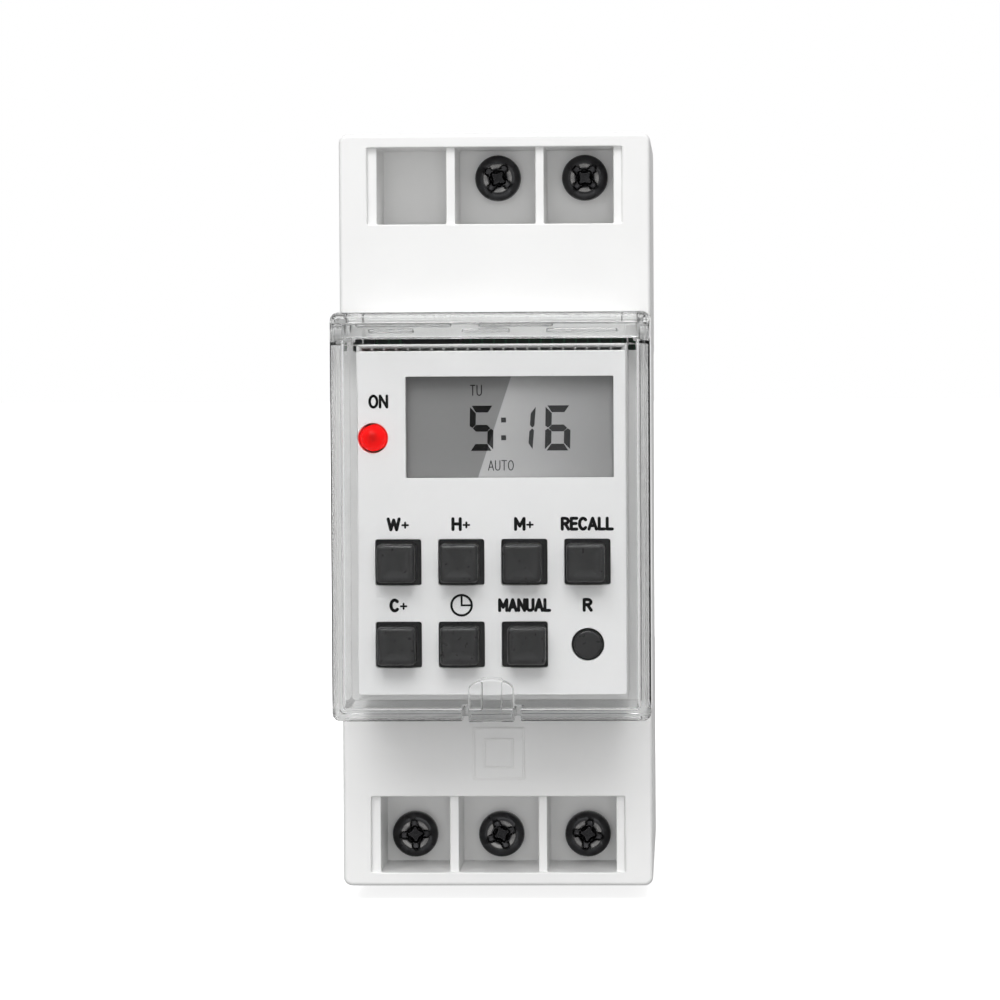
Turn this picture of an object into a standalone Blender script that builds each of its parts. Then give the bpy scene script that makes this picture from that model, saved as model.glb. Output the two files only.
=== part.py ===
"""Two-module digital time switch for a 35 mm DIN rail.

Frame: X across the width, front facing -Y, +Z up. The origin is on the rail seat, at the rail's centre line.
Dimensions are in millimetres and are turned into metres where a mesh is made.
"""

import math

import bmesh
import bpy

METRES = 0.001
GAP = 0.3
OVERCUT = 1.0
BITE = 0.4
SMOOTH_ANGLE = math.radians(35)

# Body
BODY_WIDTH = 35.9
BODY_HEIGHT = 87.0
SHOULDER_Y = -44.0
REAR_Y = 5.5
SPLIT_Y = -15.7
BODY_WALL = 1.35
FRONT_WALL = 1.6
CORNER_RADIUS = 1.0
EDGE_RADIUS = 0.4
HALF_WIDTH = BODY_WIDTH / 2
HALF_HEIGHT = BODY_HEIGHT / 2
INNER_X = HALF_WIDTH - BODY_WALL
INNER_HALF_Z = 31.8
BASE_INNER_HALF_Z = HALF_HEIGHT - BODY_WALL

# Raised panel seat and control panel
SEAT_X = 15.3
SEAT_LOW_Z = -20.9
SEAT_HIGH_Z = 19.3
SEAT_Y = -54.2
SEAT_WALL = 0.7
LIP_Y = -55.8
LIP_THICK = 0.4
HINGE_SLOT_X = 16.4
HINGE_SLOT_Z = (SEAT_HIGH_Z, 20.15)
HINGE_POCKET_LOW_Z = 18.5
PANEL_X = 15.2
PANEL_LOW_Z = -20.3
PANEL_HIGH_Z = 18.6
PANEL_Y = -56.0
PANEL_THICK = 1.2
PANEL_REAR_Y = PANEL_Y + PANEL_THICK
DISPLAY_X = (-9.65, 13.8)
DISPLAY_Z = (4.25, 15.7)
LAMP_X = -13.35
LAMP_Z = 8.8
LAMP_RADIUS = 1.5
LAMP_HOLE_RADIUS = 1.7
LAMP_DOME = ((-57.0, 0.5), (-56.85, 0.9), (-56.5, 1.25), (-56.0, 1.45), (-55.4, LAMP_RADIUS))
PANEL_POST_PLACES = ((-12.9, 16.4), (-12.9, 0.6), (0.1, -19.0))
PANEL_POST_RADIUS = 0.9
GLASS_X = (-10.6, 14.3)
GLASS_Z = (2.5, 17.4)
GLASS_THICK = 1.8
HOLDER_X = (-10.8, 14.2)
HOLDER_Z = (2.4, 17.5)
HOLDER_WINDOW_X = (-9.9, 13.5)
HOLDER_WINDOW_Z = (3.0, 16.9)
STRIP_X = (-9.5, 13.1)
STRIP_UPPER_Z = (15.3, 16.5)
STRIP_LOWER_Z = (3.4, 4.6)

# Keys
KEY_COLUMNS = (-10.57, -3.45, 3.67, 10.79)
KEY_ROWS = (-5.25, -14.58)
KEY_NAMES = (
    ("key_week", "key_hour", "key_minute", "key_recall"),
    ("key_channel", "key_clock", "key_manual"),
)
KEY_SIDE = 4.62
KEY_HOLE_SIDE = 5.2
KEY_CORNER = 0.5
KEY_FRONT_BEVEL = 0.25
KEY_FRONT_Y = -58.1
KEY_FLANGE_SIDE = 6.0
KEY_FLANGE_THICK = 0.8
KEY_BOSS_RADIUS = 1.5
KEY_BOSS_CORNER = 1.35
KEY_BOSS_LENGTH = 1.3
RESET_RADIUS = 1.6
RESET_HOLE_RADIUS = 1.85
RESET_FLANGE_RADIUS = 2.6
RESET_FRONT_Y = -56.1
PILL_RADIUS = 1.3
PILL_THICK = 0.6
MAT_HOLE_RADIUS = 2.2
MAT_COLLAR_RADIUS = 2.8
MAT_X = 14.0
MAT_Z = (-17.9, -1.7)
MAT_THICK = 1.0
MAT_COLLAR_HEIGHT = 0.8

# Boards
DISPLAY_BOARD_Y = -50.0
DISPLAY_BOARD_THICK = 1.2
DISPLAY_BOARD_X = 14.2
DISPLAY_BOARD_Z = (-19.9, 18.3)
BATTERY_PLACE = (-6.6, 8.6)
BATTERY_RADIUS = 6.0
BATTERY_THICK = 5.2
CHIP_X = (5.0, 14.0)
CHIP_Z = (-14.0, -5.0)
CHIP_THICK = 1.6
CRYSTAL_X = 9.0
CRYSTAL_Z = (-2.0, 4.0)
CRYSTAL_RADIUS = 1.0
HEADER_X = (1.0, 3.4)
HEADER_Z = (-11.0, 9.0)
HEADER_THICK = 2.5
HEADER_PINS = 8
HEADER_PIN_PITCH = 2.5
HEADER_PIN_SIDE = 0.6
POWER_BOARD_Y = -13.1
POWER_BOARD_THICK = 1.6
POWER_BOARD_X = 16.0
POWER_BOARD_HALF_Z = 30.6
BOARD_POST_X = 13.6
BOARD_POST_Z = 28.2
BOARD_POST_RADIUS = 1.8
RELAY_X = (-15.2, -2.5)
RELAY_Z = (-14.0, 15.0)
RELAY_HEIGHT = 20.0
DROPPER_X = (5.4, 15.2)
DROPPER_Z = (-12.0, 14.0)
DROPPER_HEIGHT = 18.5
SMOOTHING_PLACE = (-8.5, 21.6)
SMOOTHING_RADIUS = 4.0
SMOOTHING_HEIGHT = 11.5
BRIDGE_X = (-9.5, -2.5)
BRIDGE_Z = (-23.5, -17.5)
BRIDGE_HEIGHT = 3.0
VARISTOR_X = (7.0, 10.2)
VARISTOR_Z = -21.5
VARISTOR_RADIUS = 4.3

# Terminals
TERMINAL_PITCH = 10.2
TERMINAL_Z = 38.65
UPPER_TERMINALS = (1, 2)
LOWER_TERMINALS = (0, 1, 2)
WINDOW_X = 14.7
WINDOW_Z = (33.1, 41.95)
WINDOW_RECESS = 0.6
CELLS = ((-13.6, -5.6), (-4.55, 4.7), (5.7, 13.7))
CELL_FLOOR_Y = -32.3
FLOOR_THICK = 1.2
CHAMBER_HALF_X = 4.4
CHAMBER_Z = (34.6, 42.1)
HEAD_RADIUS = 2.7
HEAD_Y = -34.3
HEAD_EDGE = ((0.0, 0.8), (0.25, 0.25), (0.7, 0.0))
TIP_CHAMFER = 0.5
SHANK_RADIUS = 1.75
SCREW_TIP_Y = -24.9
CLEAR_RADIUS = 2.1
CAGE_HALF_X = 3.7
CAGE_Y = (-26.9, -18.0)
CAGE_BORE_Y = (-25.3, -19.0)
CAGE_WALL = 0.8
CAGE_HALF_LENGTH = 2.8
BAR_HALF_X = 2.2
BAR_Y = (-24.6, -23.6)
BAR_TOP_Z = 41.2
BAR_LEG_Z = (28.4, 29.4)
BAR_SLOT_Z = (31.2, 35.2)
CELL_EDGE = 0.05
CROSS_ARM = 1.75
CROSS_HALF_WIDTH = 0.42
CROSS_DEPTH = 1.1
WIRE_HALF_X = 2.6
WIRE_Y = (-23.7, -18.9)

# Flip cover
COVER_FRONT_Y = -60.0
COVER_REAR_Y = SHOULDER_Y - GAP
COVER_HALF_Z = 23.0
COVER_WALL = 1.2
COVER_CORNER = 0.9
HINGE_Y = -46.7
HINGE_Z = 20.5
HINGE_PIN_RADIUS = 1.0
PIN_INSET = 0.2
HINGE_HOLE_RADIUS = 1.3
HINGE_BARREL_RADIUS = 2.55
RELIEF_BEHIND_HINGE = 0.7
LUG_CLEARANCE = 0.45
LUG_X = (15.0, 16.35)
TAB_HALF_X = 2.55
TAB_PROUD = 0.55
TAB_TOP_Z = -18.1
TAB_DOME_RISE = 1.3
TAB_SLOT_WIDTH = 0.7
TAB_SLOT_TOP_Z = -21.2
TAB_SLOT_REAR_Y = -52.0
STUD_HALF_X = 1.1
STUD_Z = (-21.6, -18.2)
TOP_BAR_DROP = 0.4
TOP_BAR_EXTRA = 1.3

# Rail slot, hooks and clip
RAIL_SLOT_HIGH_Z = 17.75
RAIL_SLOT_LOW_Z = -17.9
RAIL_SLOT_FLOOR = 1.8
SEAT_RELIEF_Z = 15.8
FOOT_Z = 19.6
FOOT_FRONT_Y = -2.2
FOOT_WALL = 1.5
FOOT_CHANNEL_X = 8.4
HOOK_LOW_Z = 16.3
HOOK_Y = (1.4, 3.4)
HOOK_X = (5.5, 15.5)
CLIP_HALF_X = 6.5
CLIP_Y = (1.3, 3.9)
CLIP_NOSE_Z = -16.0
CLIP_TAB_Z = -45.2
NOSE_FRONT_CHAMFER = (0.7, 1.2)
NOSE_REAR_CHAMFER = (0.9, 1.4)
DRIVER_SLOT_HALF_X = 2.6
DRIVER_SLOT_Z = (-44.0, -42.6)
CHANNEL_HALF_X = 6.9
CHANNEL_MOUTH_HALF_X = 4.5
SPRING_SLOT_HALF_X = 1.6
SPRING_SLOT_Z = (-38.0, -24.0)
POST_HALF_X = 1.2
POST_Z = (-37.5, -36.0)
SPRING_RADIUS = 0.9
SPRING_WIRE_RADIUS = 0.2
SPRING_TURNS = 8
SPRING_STEPS = 10
SPRING_SIDES = 5

COLOURS = {
    "white_plastic": ((0.86, 0.86, 0.86, 1.0), 0.42, 0.0),
    "panel_plastic": ((0.78, 0.79, 0.79, 1.0), 0.45, 0.0),
    "clear_plastic": ((0.92, 0.94, 0.95, 1.0), 0.08, 0.0),
    "key_rubber": ((0.07, 0.07, 0.07, 1.0), 0.6, 0.0),
    "black_plastic": ((0.03, 0.03, 0.03, 1.0), 0.4, 0.0),
    "display_glass": ((0.28, 0.29, 0.28, 1.0), 0.15, 0.0),
    "red_lens": ((0.8, 0.01, 0.01, 1.0), 0.2, 0.0),
    "silicone": ((0.32, 0.33, 0.34, 1.0), 0.6, 0.0),
    "carbon": ((0.02, 0.02, 0.02, 1.0), 0.7, 0.0),
    "board_green": ((0.02, 0.18, 0.08, 1.0), 0.4, 0.0),
    "black_screw": ((0.04, 0.04, 0.04, 1.0), 0.3, 1.0),
    "zinc_steel": ((0.6, 0.6, 0.62, 1.0), 0.35, 1.0),
    "copper": ((0.75, 0.42, 0.25, 1.0), 0.35, 1.0),
    "relay_blue": ((0.03, 0.12, 0.4, 1.0), 0.4, 0.0),
    "film_yellow": ((0.75, 0.6, 0.1, 1.0), 0.4, 0.0),
    "varistor_blue": ((0.05, 0.2, 0.5, 1.0), 0.5, 0.0),
}


def clear_scene():
    for old in list(bpy.data.objects):
        bpy.data.objects.remove(old, do_unlink=True)


def material(name):
    made = bpy.data.materials.get(name)
    if made:
        return made
    colour, roughness, metallic = COLOURS[name]
    made = bpy.data.materials.new(name)
    made.use_nodes = True
    shader = made.node_tree.nodes["Principled BSDF"]
    shader.inputs["Base Color"].default_value = colour
    shader.inputs["Roughness"].default_value = roughness
    shader.inputs["Metallic"].default_value = metallic
    return made


def make_object(name, mesh_builder, slot=None, origin=(0, 0, 0)):
    """An object from a bmesh in millimetres, with its origin at the given point."""
    bmesh.ops.recalc_face_normals(mesh_builder, faces=mesh_builder.faces)
    for vertex in mesh_builder.verts:
        vertex.co = [(vertex.co[i] - origin[i]) * METRES for i in range(3)]
    mesh = bpy.data.meshes.new(name)
    mesh_builder.to_mesh(mesh)
    mesh_builder.free()
    made = bpy.data.objects.new(name, mesh)
    made.location = [value * METRES for value in origin]
    bpy.context.collection.objects.link(made)
    if slot:
        mesh.materials.append(material(slot))
    return made


def add_box(builder, x, y, z):
    corners = [builder.verts.new((px, py, pz)) for px in x for py in y for pz in z]
    for face in ((0, 1, 3, 2), (4, 6, 7, 5), (0, 4, 5, 1), (2, 3, 7, 6), (0, 2, 6, 4), (1, 5, 7, 3)):
        builder.faces.new([corners[i] for i in face])


def add_loft(builder, loops):
    """Closed loops of equal length joined into one skin, with a face over each end."""
    rings = [[builder.verts.new(point) for point in loop] for loop in loops]
    count = len(rings[0])
    for first, second in zip(rings, rings[1:]):
        for i in range(count):
            after = (i + 1) % count
            builder.faces.new((first[i], first[after], second[after], second[i]))
    builder.faces.new(rings[0])
    builder.faces.new(list(reversed(rings[-1])))


def circle(x, y, z, radius, segments, axis="Y"):
    points = []
    for i in range(segments):
        turn = 2 * math.pi * (i + 0.5) / segments
        across = radius * math.cos(turn)
        along = radius * math.sin(turn)
        offset = {"Y": (across, 0, along), "X": (0, across, along), "Z": (across, along, 0)}[axis]
        points.append((x + offset[0], y + offset[1], z + offset[2]))
    return points


def rounded_square(x, y, z, side, corner, segments=4):
    """A square loop facing Y, with each corner an arc."""
    points = []
    inset = side / 2 - corner
    for quarter in range(4):
        start = quarter * math.pi / 2
        centre_x = inset * (1 if quarter in (0, 3) else -1)
        centre_z = inset * (1 if quarter in (0, 1) else -1)
        for i in range(segments):
            turn = start + math.pi / 2 * i / (segments - 1)
            points.append((x + centre_x + corner * math.cos(turn), y, z + centre_z + corner * math.sin(turn)))
    return points


def extrude_profile(builder, outline, low, high, axis="X"):
    """An outline of (y, z) pairs along X, or of (x, z) pairs along Y, between two positions."""
    loops = []
    for position in (low, high):
        if axis == "X":
            loops.append([(position, a, b) for a, b in outline])
        else:
            loops.append([(a, position, b) for a, b in outline])
    add_loft(builder, loops)


def box(name, x, y, z, slot, bevel=0.0):
    builder = bmesh.new()
    add_box(builder, x, y, z)
    if bevel:
        bmesh.ops.bevel(
            builder, geom=builder.edges[:], offset=bevel, segments=1, affect="EDGES", clamp_overlap=True
        )
    return make_object(name, builder, slot)


def combine(target, name, builder, operation):
    """Joins a helper solid to the target, or cuts it away, with a Boolean that stays on the target."""
    helper = make_object(name, builder)
    helper.hide_render = True
    helper.display_type = "WIRE"
    modifier = target.modifiers.new(name, "BOOLEAN")
    modifier.operation = operation
    modifier.object = helper


def boxes(*sizes):
    builder = bmesh.new()
    for x, y, z in sizes:
        add_box(builder, x, y, z)
    return builder


def cylinders(places, axis="Y", segments=16):
    """Round bars between two positions along an axis: (x, y, z, radius, length)."""
    builder = bmesh.new()
    step = {"X": (1, 0, 0), "Y": (0, 1, 0), "Z": (0, 0, 1)}[axis]
    for x, y, z, radius, length in places:
        far = [value + length * way for value, way in zip((x, y, z), step)]
        add_loft(builder, [circle(x, y, z, radius, segments, axis), circle(*far, radius, segments, axis)])
    return builder


def smooth(target):
    target.data.shade_smooth()
    target.data.set_sharp_from_angle(angle=SMOOTH_ANGLE)


def body_block(y_low, y_high, front_edge):
    """A block of the body's width and height with round corners, and a soft edge round its front."""
    builder = bmesh.new()
    add_box(builder, (-HALF_WIDTH, HALF_WIDTH), (y_low, y_high), (-HALF_HEIGHT, HALF_HEIGHT))
    along = [e for e in builder.edges if abs(e.verts[0].co.y - e.verts[1].co.y) > 1]
    bmesh.ops.bevel(builder, geom=along, offset=CORNER_RADIUS, segments=3, affect="EDGES", profile=0.5)
    edge_y = y_low if front_edge else y_high
    rim = [e for e in builder.edges if all(abs(v.co.y - edge_y) < 0.001 for v in e.verts)]
    bmesh.ops.bevel(builder, geom=rim, offset=EDGE_RADIUS, segments=2, affect="EDGES", profile=0.5)
    return builder


def terminal_places():
    """The screw positions: upper middle and right, then the three lower ones, as (x, side)."""
    places = [((column - 1) * TERMINAL_PITCH, 1) for column in UPPER_TERMINALS]
    places += [((column - 1) * TERMINAL_PITCH, -1) for column in LOWER_TERMINALS]
    return places


def both_ways(side, low, high):
    """A span of heights on the upper (1) or lower (-1) side."""
    return (low, high) if side > 0 else (-high, -low)


def housing_terminals(housing):
    """Windows, screw cells, cage chambers, wire entries and bar slots of both terminal rows."""
    recess_y = (SHOULDER_Y - OVERCUT, SHOULDER_Y + WINDOW_RECESS)
    recess = [((-WINDOW_X, WINDOW_X), recess_y, both_ways(side, *WINDOW_Z)) for side in (1, -1)]
    combine(housing, "cut_window_recess", boxes(*recess), "DIFFERENCE")
    cell_z = (WINDOW_Z[0] + CELL_EDGE, WINDOW_Z[1] - CELL_EDGE)
    cell_y = (SHOULDER_Y - OVERCUT, CELL_FLOOR_Y)
    cells = [(cell_x, cell_y, both_ways(side, *cell_z)) for side in (1, -1) for cell_x in CELLS]
    combine(housing, "cut_cells", boxes(*cells), "DIFFERENCE")
    chamber_front = CELL_FLOOR_Y + FLOOR_THICK
    chambers = []
    for side in (1, -1):
        for column in range(3):
            x = (column - 1) * TERMINAL_PITCH
            span = (x - CHAMBER_HALF_X, x + CHAMBER_HALF_X)
            chambers.append((span, (chamber_front, SPLIT_Y + OVERCUT), both_ways(side, *CHAMBER_Z)))
    combine(housing, "cut_chambers", boxes(*chambers), "DIFFERENCE")
    holes = []
    for x, side in terminal_places():
        holes.append((x, CELL_FLOOR_Y - OVERCUT, side * TERMINAL_Z, CLEAR_RADIUS, FLOOR_THICK + 2 * OVERCUT))
    combine(housing, "cut_screw_holes", cylinders(holes), "DIFFERENCE")
    entry_z = (CHAMBER_Z[1] - BITE, HALF_HEIGHT + OVERCUT)
    entries = [
        ((x - WIRE_HALF_X, x + WIRE_HALF_X), WIRE_Y, both_ways(side, *entry_z))
        for x, side in terminal_places()
    ]
    combine(housing, "cut_wire_entries", boxes(*entries), "DIFFERENCE")
    slot_half = BAR_HALF_X + GAP
    slot_y = (BAR_Y[0] - 2 * GAP, SPLIT_Y + OVERCUT)
    slots = [
        ((x - slot_half, x + slot_half), slot_y, both_ways(side, *BAR_SLOT_Z))
        for x, side in terminal_places()
    ]
    combine(housing, "cut_bar_slots", boxes(*slots), "DIFFERENCE")


def front_housing():
    housing = make_object("front_housing", body_block(SHOULDER_Y, SPLIT_Y - GAP / 2, True), "white_plastic")
    seat_y = (SEAT_Y, SHOULDER_Y + BITE)
    combine(housing, "add_seat", boxes(((-SEAT_X, SEAT_X), seat_y, (SEAT_LOW_Z, SEAT_HIGH_Z))), "UNION")
    lip_x = SEAT_X - CELL_EDGE
    lip = ((-lip_x, lip_x), (LIP_Y, SEAT_Y + BITE), (SEAT_HIGH_Z - LIP_THICK, SEAT_HIGH_Z - CELL_EDGE))
    combine(housing, "add_lip", boxes(lip), "UNION")
    lug_z = (HINGE_Z - HINGE_PIN_RADIUS, HINGE_Z + HINGE_PIN_RADIUS)
    lug_y = (HINGE_Y - HINGE_PIN_RADIUS, SHOULDER_Y + 2 * BITE)
    lugs = boxes((LUG_X, lug_y, lug_z), ((-LUG_X[1], -LUG_X[0]), lug_y, lug_z))
    combine(housing, "add_lugs", lugs, "UNION")
    pin_start = LUG_X[1] - BITE
    pin_length = HALF_WIDTH - PIN_INSET - pin_start
    pin_radius = HINGE_PIN_RADIUS - CELL_EDGE
    pin_places = [(way * pin_start, HINGE_Y, HINGE_Z, pin_radius, way * pin_length) for way in (1, -1)]
    combine(housing, "add_pins", cylinders(pin_places, axis="X"), "UNION")
    inside_y = (SHOULDER_Y + FRONT_WALL, SPLIT_Y + OVERCUT)
    inside = ((-INNER_X, INNER_X), inside_y, (-INNER_HALF_Z, INNER_HALF_Z))
    combine(housing, "cut_inside", boxes(inside), "DIFFERENCE")
    through_wall = (SHOULDER_Y - OVERCUT, SHOULDER_Y + FRONT_WALL + BITE)
    seat_inside = (
        (-SEAT_X + SEAT_WALL, SEAT_X - SEAT_WALL),
        (SEAT_Y - OVERCUT, through_wall[1]),
        (SEAT_LOW_Z + SEAT_WALL, SEAT_HIGH_Z - SEAT_WALL),
    )
    combine(housing, "cut_seat_inside", boxes(seat_inside), "DIFFERENCE")
    slot = ((-HINGE_SLOT_X, HINGE_SLOT_X), through_wall, HINGE_SLOT_Z)
    combine(housing, "cut_hinge_slot", boxes(slot), "DIFFERENCE")
    pocket_z = (HINGE_POCKET_LOW_Z, HINGE_SLOT_Z[0] + CELL_EDGE)
    pocket_spans = ((SEAT_X, HINGE_SLOT_X), (-HINGE_SLOT_X, -SEAT_X))
    pockets = [(span, through_wall, pocket_z) for span in pocket_spans]
    combine(housing, "cut_hinge_pockets", boxes(*pockets), "DIFFERENCE")
    lamp_room_length = DISPLAY_BOARD_Y - SEAT_Y + OVERCUT
    lamp_room = cylinders([(LAMP_X, SEAT_Y - OVERCUT, LAMP_Z, LAMP_RADIUS + GAP, lamp_room_length)])
    combine(housing, "cut_lamp_room", lamp_room, "DIFFERENCE")
    housing_terminals(housing)


def rear_base():
    base = make_object("rear_base", body_block(SPLIT_Y + GAP / 2, REAR_Y, False), "white_plastic")
    across = (-HALF_WIDTH - OVERCUT, HALF_WIDTH + OVERCUT)
    slot = (across, (0, REAR_Y + OVERCUT), (RAIL_SLOT_LOW_Z, RAIL_SLOT_HIGH_Z))
    combine(base, "cut_rail_slot", boxes(slot), "DIFFERENCE")
    reliefs = boxes(
        (across, (-GAP, OVERCUT), (SEAT_RELIEF_Z, RAIL_SLOT_HIGH_Z + CELL_EDGE)),
        (across, (-GAP, OVERCUT), (RAIL_SLOT_LOW_Z - CELL_EDGE, -SEAT_RELIEF_Z)),
    )
    combine(base, "cut_seat_reliefs", reliefs, "DIFFERENCE")
    hooks = []
    for side in (1, -1):
        x = HOOK_X if side > 0 else (-HOOK_X[1], -HOOK_X[0])
        hooks.append((x, HOOK_Y, (HOOK_LOW_Z, RAIL_SLOT_HIGH_Z + OVERCUT)))
    combine(base, "add_hooks", boxes(*hooks), "UNION")
    inner_z = BASE_INNER_HALF_Z
    inside = ((-INNER_X, INNER_X), (SPLIT_Y - OVERCUT, -RAIL_SLOT_FLOOR), (-inner_z, inner_z))
    combine(base, "cut_inside", boxes(inside), "DIFFERENCE")
    foot_y = (FOOT_FRONT_Y, REAR_Y - FOOT_WALL)
    feet = boxes(
        ((-INNER_X, INNER_X), foot_y, (FOOT_Z, inner_z)),
        ((FOOT_CHANNEL_X, INNER_X), foot_y, (-inner_z, -FOOT_Z)),
        ((-INNER_X, -FOOT_CHANNEL_X), foot_y, (-inner_z, -FOOT_Z)),
    )
    combine(base, "cut_feet", feet, "DIFFERENCE")
    channel_z = (-HALF_HEIGHT - OVERCUT, RAIL_SLOT_LOW_Z + BITE)
    channel = ((-CHANNEL_HALF_X, CHANNEL_HALF_X), (CLIP_Y[0] - GAP, CLIP_Y[1] + GAP), channel_z)
    combine(base, "cut_clip_channel", boxes(channel), "DIFFERENCE")
    mouth = ((-CHANNEL_MOUTH_HALF_X, CHANNEL_MOUTH_HALF_X), (CLIP_Y[1], REAR_Y + OVERCUT), channel_z)
    combine(base, "cut_clip_mouth", boxes(mouth), "DIFFERENCE")
    post = ((-POST_HALF_X, POST_HALF_X), (CLIP_Y[0] - GAP - BITE, CLIP_Y[1] - GAP), POST_Z)
    combine(base, "add_spring_post", boxes(post), "UNION")
    post_front = POWER_BOARD_Y + POWER_BOARD_THICK + GAP
    post_length = foot_y[1] + BITE - post_front
    posts = []
    for x in (-BOARD_POST_X, BOARD_POST_X):
        for z in (-BOARD_POST_Z, BOARD_POST_Z):
            posts.append((x, post_front, z, BOARD_POST_RADIUS, post_length))
    combine(base, "add_board_posts", cylinders(posts, segments=12), "UNION")


def rail_clip():
    """A flat slider: hooked nose above, screwdriver window in its tab below, spring slot between."""
    low, high = CLIP_Y
    outline = [
        (low, CLIP_TAB_Z),
        (low, CLIP_NOSE_Z - NOSE_FRONT_CHAMFER[1]),
        (low + NOSE_FRONT_CHAMFER[0], CLIP_NOSE_Z),
        (high - NOSE_REAR_CHAMFER[0], CLIP_NOSE_Z),
        (high, CLIP_NOSE_Z - NOSE_REAR_CHAMFER[1]),
        (high, CLIP_TAB_Z),
    ]
    builder = bmesh.new()
    extrude_profile(builder, outline, -CLIP_HALF_X, CLIP_HALF_X)
    clip = make_object("rail_clip", builder, "black_plastic", origin=(0, (low + high) / 2, CLIP_TAB_Z))
    through = (low - OVERCUT, high + OVERCUT)
    spring_slot = ((-SPRING_SLOT_HALF_X, SPRING_SLOT_HALF_X), through, SPRING_SLOT_Z)
    driver_slot = ((-DRIVER_SLOT_HALF_X, DRIVER_SLOT_HALF_X), through, DRIVER_SLOT_Z)
    combine(clip, "cut_clip_windows", boxes(spring_slot, driver_slot), "DIFFERENCE")


def clip_spring():
    """A compression coil between the fixed post and the top of the clip's slot."""
    low = POST_Z[1] + GAP + SPRING_WIRE_RADIUS
    high = SPRING_SLOT_Z[1] - GAP - SPRING_WIRE_RADIUS
    y = (CLIP_Y[0] + CLIP_Y[1]) / 2
    loops = []
    total = SPRING_TURNS * SPRING_STEPS
    for i in range(total + 1):
        turn = 2 * math.pi * i / SPRING_STEPS
        rise = low + (high - low) * i / total
        loop = []
        for side in range(SPRING_SIDES):
            around = 2 * math.pi * side / SPRING_SIDES
            reach = SPRING_RADIUS + SPRING_WIRE_RADIUS * math.cos(around)
            up = rise + SPRING_WIRE_RADIUS * math.sin(around)
            loop.append((reach * math.cos(turn), y + reach * math.sin(turn), up))
        loops.append(loop)
    builder = bmesh.new()
    add_loft(builder, loops)
    smooth(make_object("clip_spring", builder, "zinc_steel"))


def control_panel():
    builder = boxes(((-PANEL_X, PANEL_X), (PANEL_Y, PANEL_REAR_Y), (PANEL_LOW_Z, PANEL_HIGH_Z)))
    panel = make_object("control_panel", builder, "panel_plastic")
    through = (PANEL_Y - OVERCUT, PANEL_REAR_Y + OVERCUT)
    combine(panel, "cut_display", boxes((DISPLAY_X, through, DISPLAY_Z)), "DIFFERENCE")
    half = KEY_HOLE_SIDE / 2
    windows = []
    for row, names in enumerate(KEY_NAMES):
        for column in range(len(names)):
            x, z = KEY_COLUMNS[column], KEY_ROWS[row]
            windows.append(((x - half, x + half), through, (z - half, z + half)))
    combine(panel, "cut_key_holes", boxes(*windows), "DIFFERENCE")
    length = through[1] - through[0]
    rounds = [
        (LAMP_X, through[0], LAMP_Z, LAMP_HOLE_RADIUS, length),
        (KEY_COLUMNS[3], through[0], KEY_ROWS[1], RESET_HOLE_RADIUS, length),
    ]
    combine(panel, "cut_round_holes", cylinders(rounds, segments=24), "DIFFERENCE")
    stand_off = DISPLAY_BOARD_Y - GAP - PANEL_REAR_Y
    places = [(x, PANEL_REAR_Y - BITE, z, PANEL_POST_RADIUS, stand_off + BITE) for x, z in PANEL_POST_PLACES]
    posts = cylinders(places, segments=10)
    combine(panel, "add_panel_posts", posts, "UNION")


def key(name, x, z):
    """A square cap with a retaining flange behind the panel and a round boss that pushes the pill."""
    flange_front = PANEL_REAR_Y + GAP
    flange_rear = flange_front + KEY_FLANGE_THICK
    boss_end = flange_rear + KEY_BOSS_LENGTH
    loops = [
        rounded_square(x, KEY_FRONT_Y, z, KEY_SIDE - 2 * KEY_FRONT_BEVEL, KEY_CORNER),
        rounded_square(x, KEY_FRONT_Y + KEY_FRONT_BEVEL, z, KEY_SIDE, KEY_CORNER),
        rounded_square(x, flange_front, z, KEY_SIDE, KEY_CORNER),
        rounded_square(x, flange_front, z, KEY_FLANGE_SIDE, KEY_CORNER),
        rounded_square(x, flange_rear, z, KEY_FLANGE_SIDE, KEY_CORNER),
        rounded_square(x, flange_rear, z, 2 * KEY_BOSS_RADIUS, KEY_BOSS_CORNER),
        rounded_square(x, boss_end, z, 2 * KEY_BOSS_RADIUS, KEY_BOSS_CORNER),
    ]
    builder = bmesh.new()
    add_loft(builder, loops)
    make_object(name, builder, "key_rubber", origin=(x, KEY_FRONT_Y, z))


def reset_key(x, z):
    flange_front = PANEL_REAR_Y + GAP
    flange_rear = flange_front + KEY_FLANGE_THICK
    boss_end = flange_rear + KEY_BOSS_LENGTH
    profile = [
        (RESET_FRONT_Y, RESET_RADIUS - KEY_FRONT_BEVEL),
        (RESET_FRONT_Y + KEY_FRONT_BEVEL, RESET_RADIUS),
        (flange_front, RESET_RADIUS),
        (flange_front, RESET_FLANGE_RADIUS),
        (flange_rear, RESET_FLANGE_RADIUS),
        (flange_rear, KEY_BOSS_RADIUS),
        (boss_end, KEY_BOSS_RADIUS),
    ]
    turned("key_reset", x, z, profile, 20, "key_rubber")


def turned(name, x, z, profile, segments, slot):
    """A solid of revolution about a line along Y, from (y, radius) pairs."""
    builder = bmesh.new()
    add_loft(builder, [circle(x, y, z, radius, segments) for y, radius in profile])
    made = make_object(name, builder, slot, origin=(x, profile[0][0], z))
    smooth(made)
    return made


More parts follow.
